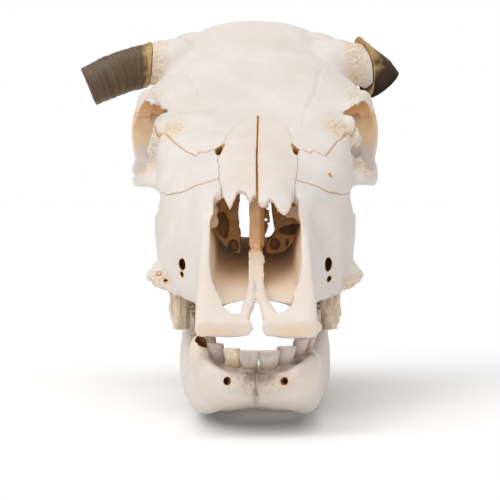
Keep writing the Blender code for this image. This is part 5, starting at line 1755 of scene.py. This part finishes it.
def horn(name, line, swells, rim, seed, slant):
    """A sheath along its line: ringed, with a ragged collar in the plane that faces rim, and sawn off at a
    slant away from the eye."""
    facing = Vector(rim).normalized()
    rows = [(i, *point, HORN_RADIUS * swell) for i, (point, swell) in enumerate(zip(line, swells))]
    course = smooth_rows(rows, 160)
    middles = [Vector(row[1:4]) for row in course]
    sizes = [row[4] for row in course]
    stops = [(0, 0.86)] + [(k, 1.0) for k in range(len(course))]
    stops += [(len(course) - 1, share) for share in CUT_SHARES]
    rings, along = [], []
    for k, share in stops:
        way = (middles[min(k + 1, len(middles) - 1)] - middles[max(k - 1, 0)]).normalized()
        side = way.cross(Vector((0, 0, 1))).normalized()
        up = side.cross(way)
        dip = 0.0008 * (1 - share) if k else 0.0
        ring = []
        for a in turns(HORN_STEPS):
            spoke = side * cos(a) + up * sin(a)
            out = slant * (-spoke.y * share - 1) * max(0.0, k / (len(course) - 1) - 0.7) / 0.3
            spoke *= sizes[k] * share
            out -= (spoke @ facing) / (way @ facing) * max(0.0, 1 - 2.2 * k / len(course))
            ring.append(middles[k] + spoke + way * (out - dip))
        rings.append(ring)
        along += [k / (len(course) - 1) if share > 0.84 else 1.0 + (0.9 - share)] * HORN_STEPS
    sheath = loft(name, rings)
    points = points_of(sheath)
    along = np.array(along)
    on_wall = np.array([1.0 if share == 1.0 else 0.3 for _, share in stops for _ in range(HORN_STEPS)])
    length = (middles[-1] - middles[0]).length
    wave = np.stack([along * length, np.zeros(len(along)), 0.15 * points[:, 2]], axis=1)
    heights = uneven(wave, seed, (0.00055, 0.0034), (0.0003, 0.0014))
    heights += uneven(points, seed + 2, (0.0005, 0.012), (0.0002, 0.003))
    pushed(sheath, heights * on_wall - 0.0006)
    collar = np.clip(1.2 - along * length / 0.0085 + 0.5 * unevenness(points, 0.005, seed + 4), 0, 1)
    return masked(sheath, {"along": along * 0.5, "rim": collar * (along < 1.01)})


HORNS = [("left", LEFT_HORN, (1.06, 1.03, 0.97), LEFT_RIM, 31, 0.0060, horn_material("grey_horn", *GREY)),
         ("right", RIGHT_HORN, (1.05, 1.0, 0.95), RIGHT_RIM, 35, 0.0, horn_material("black_horn", *BLACK))]
for word, line, swells, rim, seed, slant, finish in HORNS:
    sheath = horn("horn_" + word + "_sheath", line, swells, rim, seed, slant)
    placed(sheath, HEAD_PLACE, finish, "horn", "horn_" + word)


# ======================================================================== floor, light and camera
# A plain white studio table under soft light from above and from the left, seen from low in front.

FLOOR_SIZE = 12.0
PAINT_SHADE = (0.955, 0.955, 0.955, 1)
PAINT_LIGHT = (0.975, 0.975, 0.975, 1)
floor_shape = bmesh.new()
bmesh.ops.create_grid(floor_shape, x_segments=24, y_segments=24, size=FLOOR_SIZE)
floor = object_of("studio_floor", floor_shape)
paint, paint_shader, paint_wiring, on_floor = new_material("white_paint")
paint_cloud = paint_wiring.noise(on_floor, 3.0, 2.0)
paint_wiring.feed(paint_shader, "Base Color", paint_wiring.mix(paint_cloud, PAINT_SHADE, PAINT_LIGHT))
paint_shader.inputs["Roughness"].default_value = 0.9
paint_shader.inputs["Specular IOR Level"].default_value = 0.1
floor.data.materials.append(paint)


def soft_light(name, place, target, size, watts):
    """A rectangular lamp near by, turned towards its target."""
    lamp = bpy.data.lights.new(name, "AREA")
    lamp.shape = "RECTANGLE"
    lamp.size, lamp.size_y = size
    lamp.energy = watts
    thing = add_object(name, lamp)
    thing.location = place
    thing.rotation_euler = (Vector(target) - Vector(place)).to_track_quat("-Z", "Y").to_euler()


def wide_light(name, towards, strength, width):
    """An even light from far away, which comes from the given direction."""
    lamp = bpy.data.lights.new(name, "SUN")
    lamp.energy = strength
    lamp.angle = radians(width)
    thing = add_object(name, lamp)
    thing.rotation_euler = Vector(towards).to_track_quat("Z", "Y").to_euler()


SKULL_MIDDLE = (MIDLINE_X, 0.0, 0.18)
soft_light("front_light", (0.10, -2.20, 0.45), SKULL_MIDDLE, (1.2, 0.8), 3.0)
wide_light("key_light", (-0.70, -0.50, 0.75), 0.75, 40.0)
wide_light("top_light", (-0.10, -0.10, 1.0), 1.15, 50.0)

world = bpy.data.worlds.new("white_studio")
bpy.context.scene.world = world
world.use_nodes = True
world_wiring = Wiring(world.node_tree)
seen = world_wiring.node("LightPath").outputs["Is Camera Ray"]
background = world.node_tree.nodes["Background"]
background.inputs["Color"].default_value = (1.0, 1.0, 1.0, 1)
world_wiring.feed(background, "Strength", world_wiring.spread(seen, 0.0, 1.0, 0.54, 1.0))

PIXELS = 500
FOCAL_PIXELS = 1848
HORIZON_ABOVE_MIDDLE = 70
eye = bpy.data.cameras.new("camera")
eye.sensor_width = 36.0
eye.lens = eye.sensor_width * FOCAL_PIXELS / PIXELS
camera = add_object("camera", eye)
camera.location = JAW_PLACE @ EYE_AWAY
camera.rotation_euler = (pi / 2 - atan(HORIZON_ABOVE_MIDDLE / FOCAL_PIXELS), 0.0, 0.0)
bpy.context.scene.camera = camera
bpy.context.scene.view_settings.view_transform = "Standard"
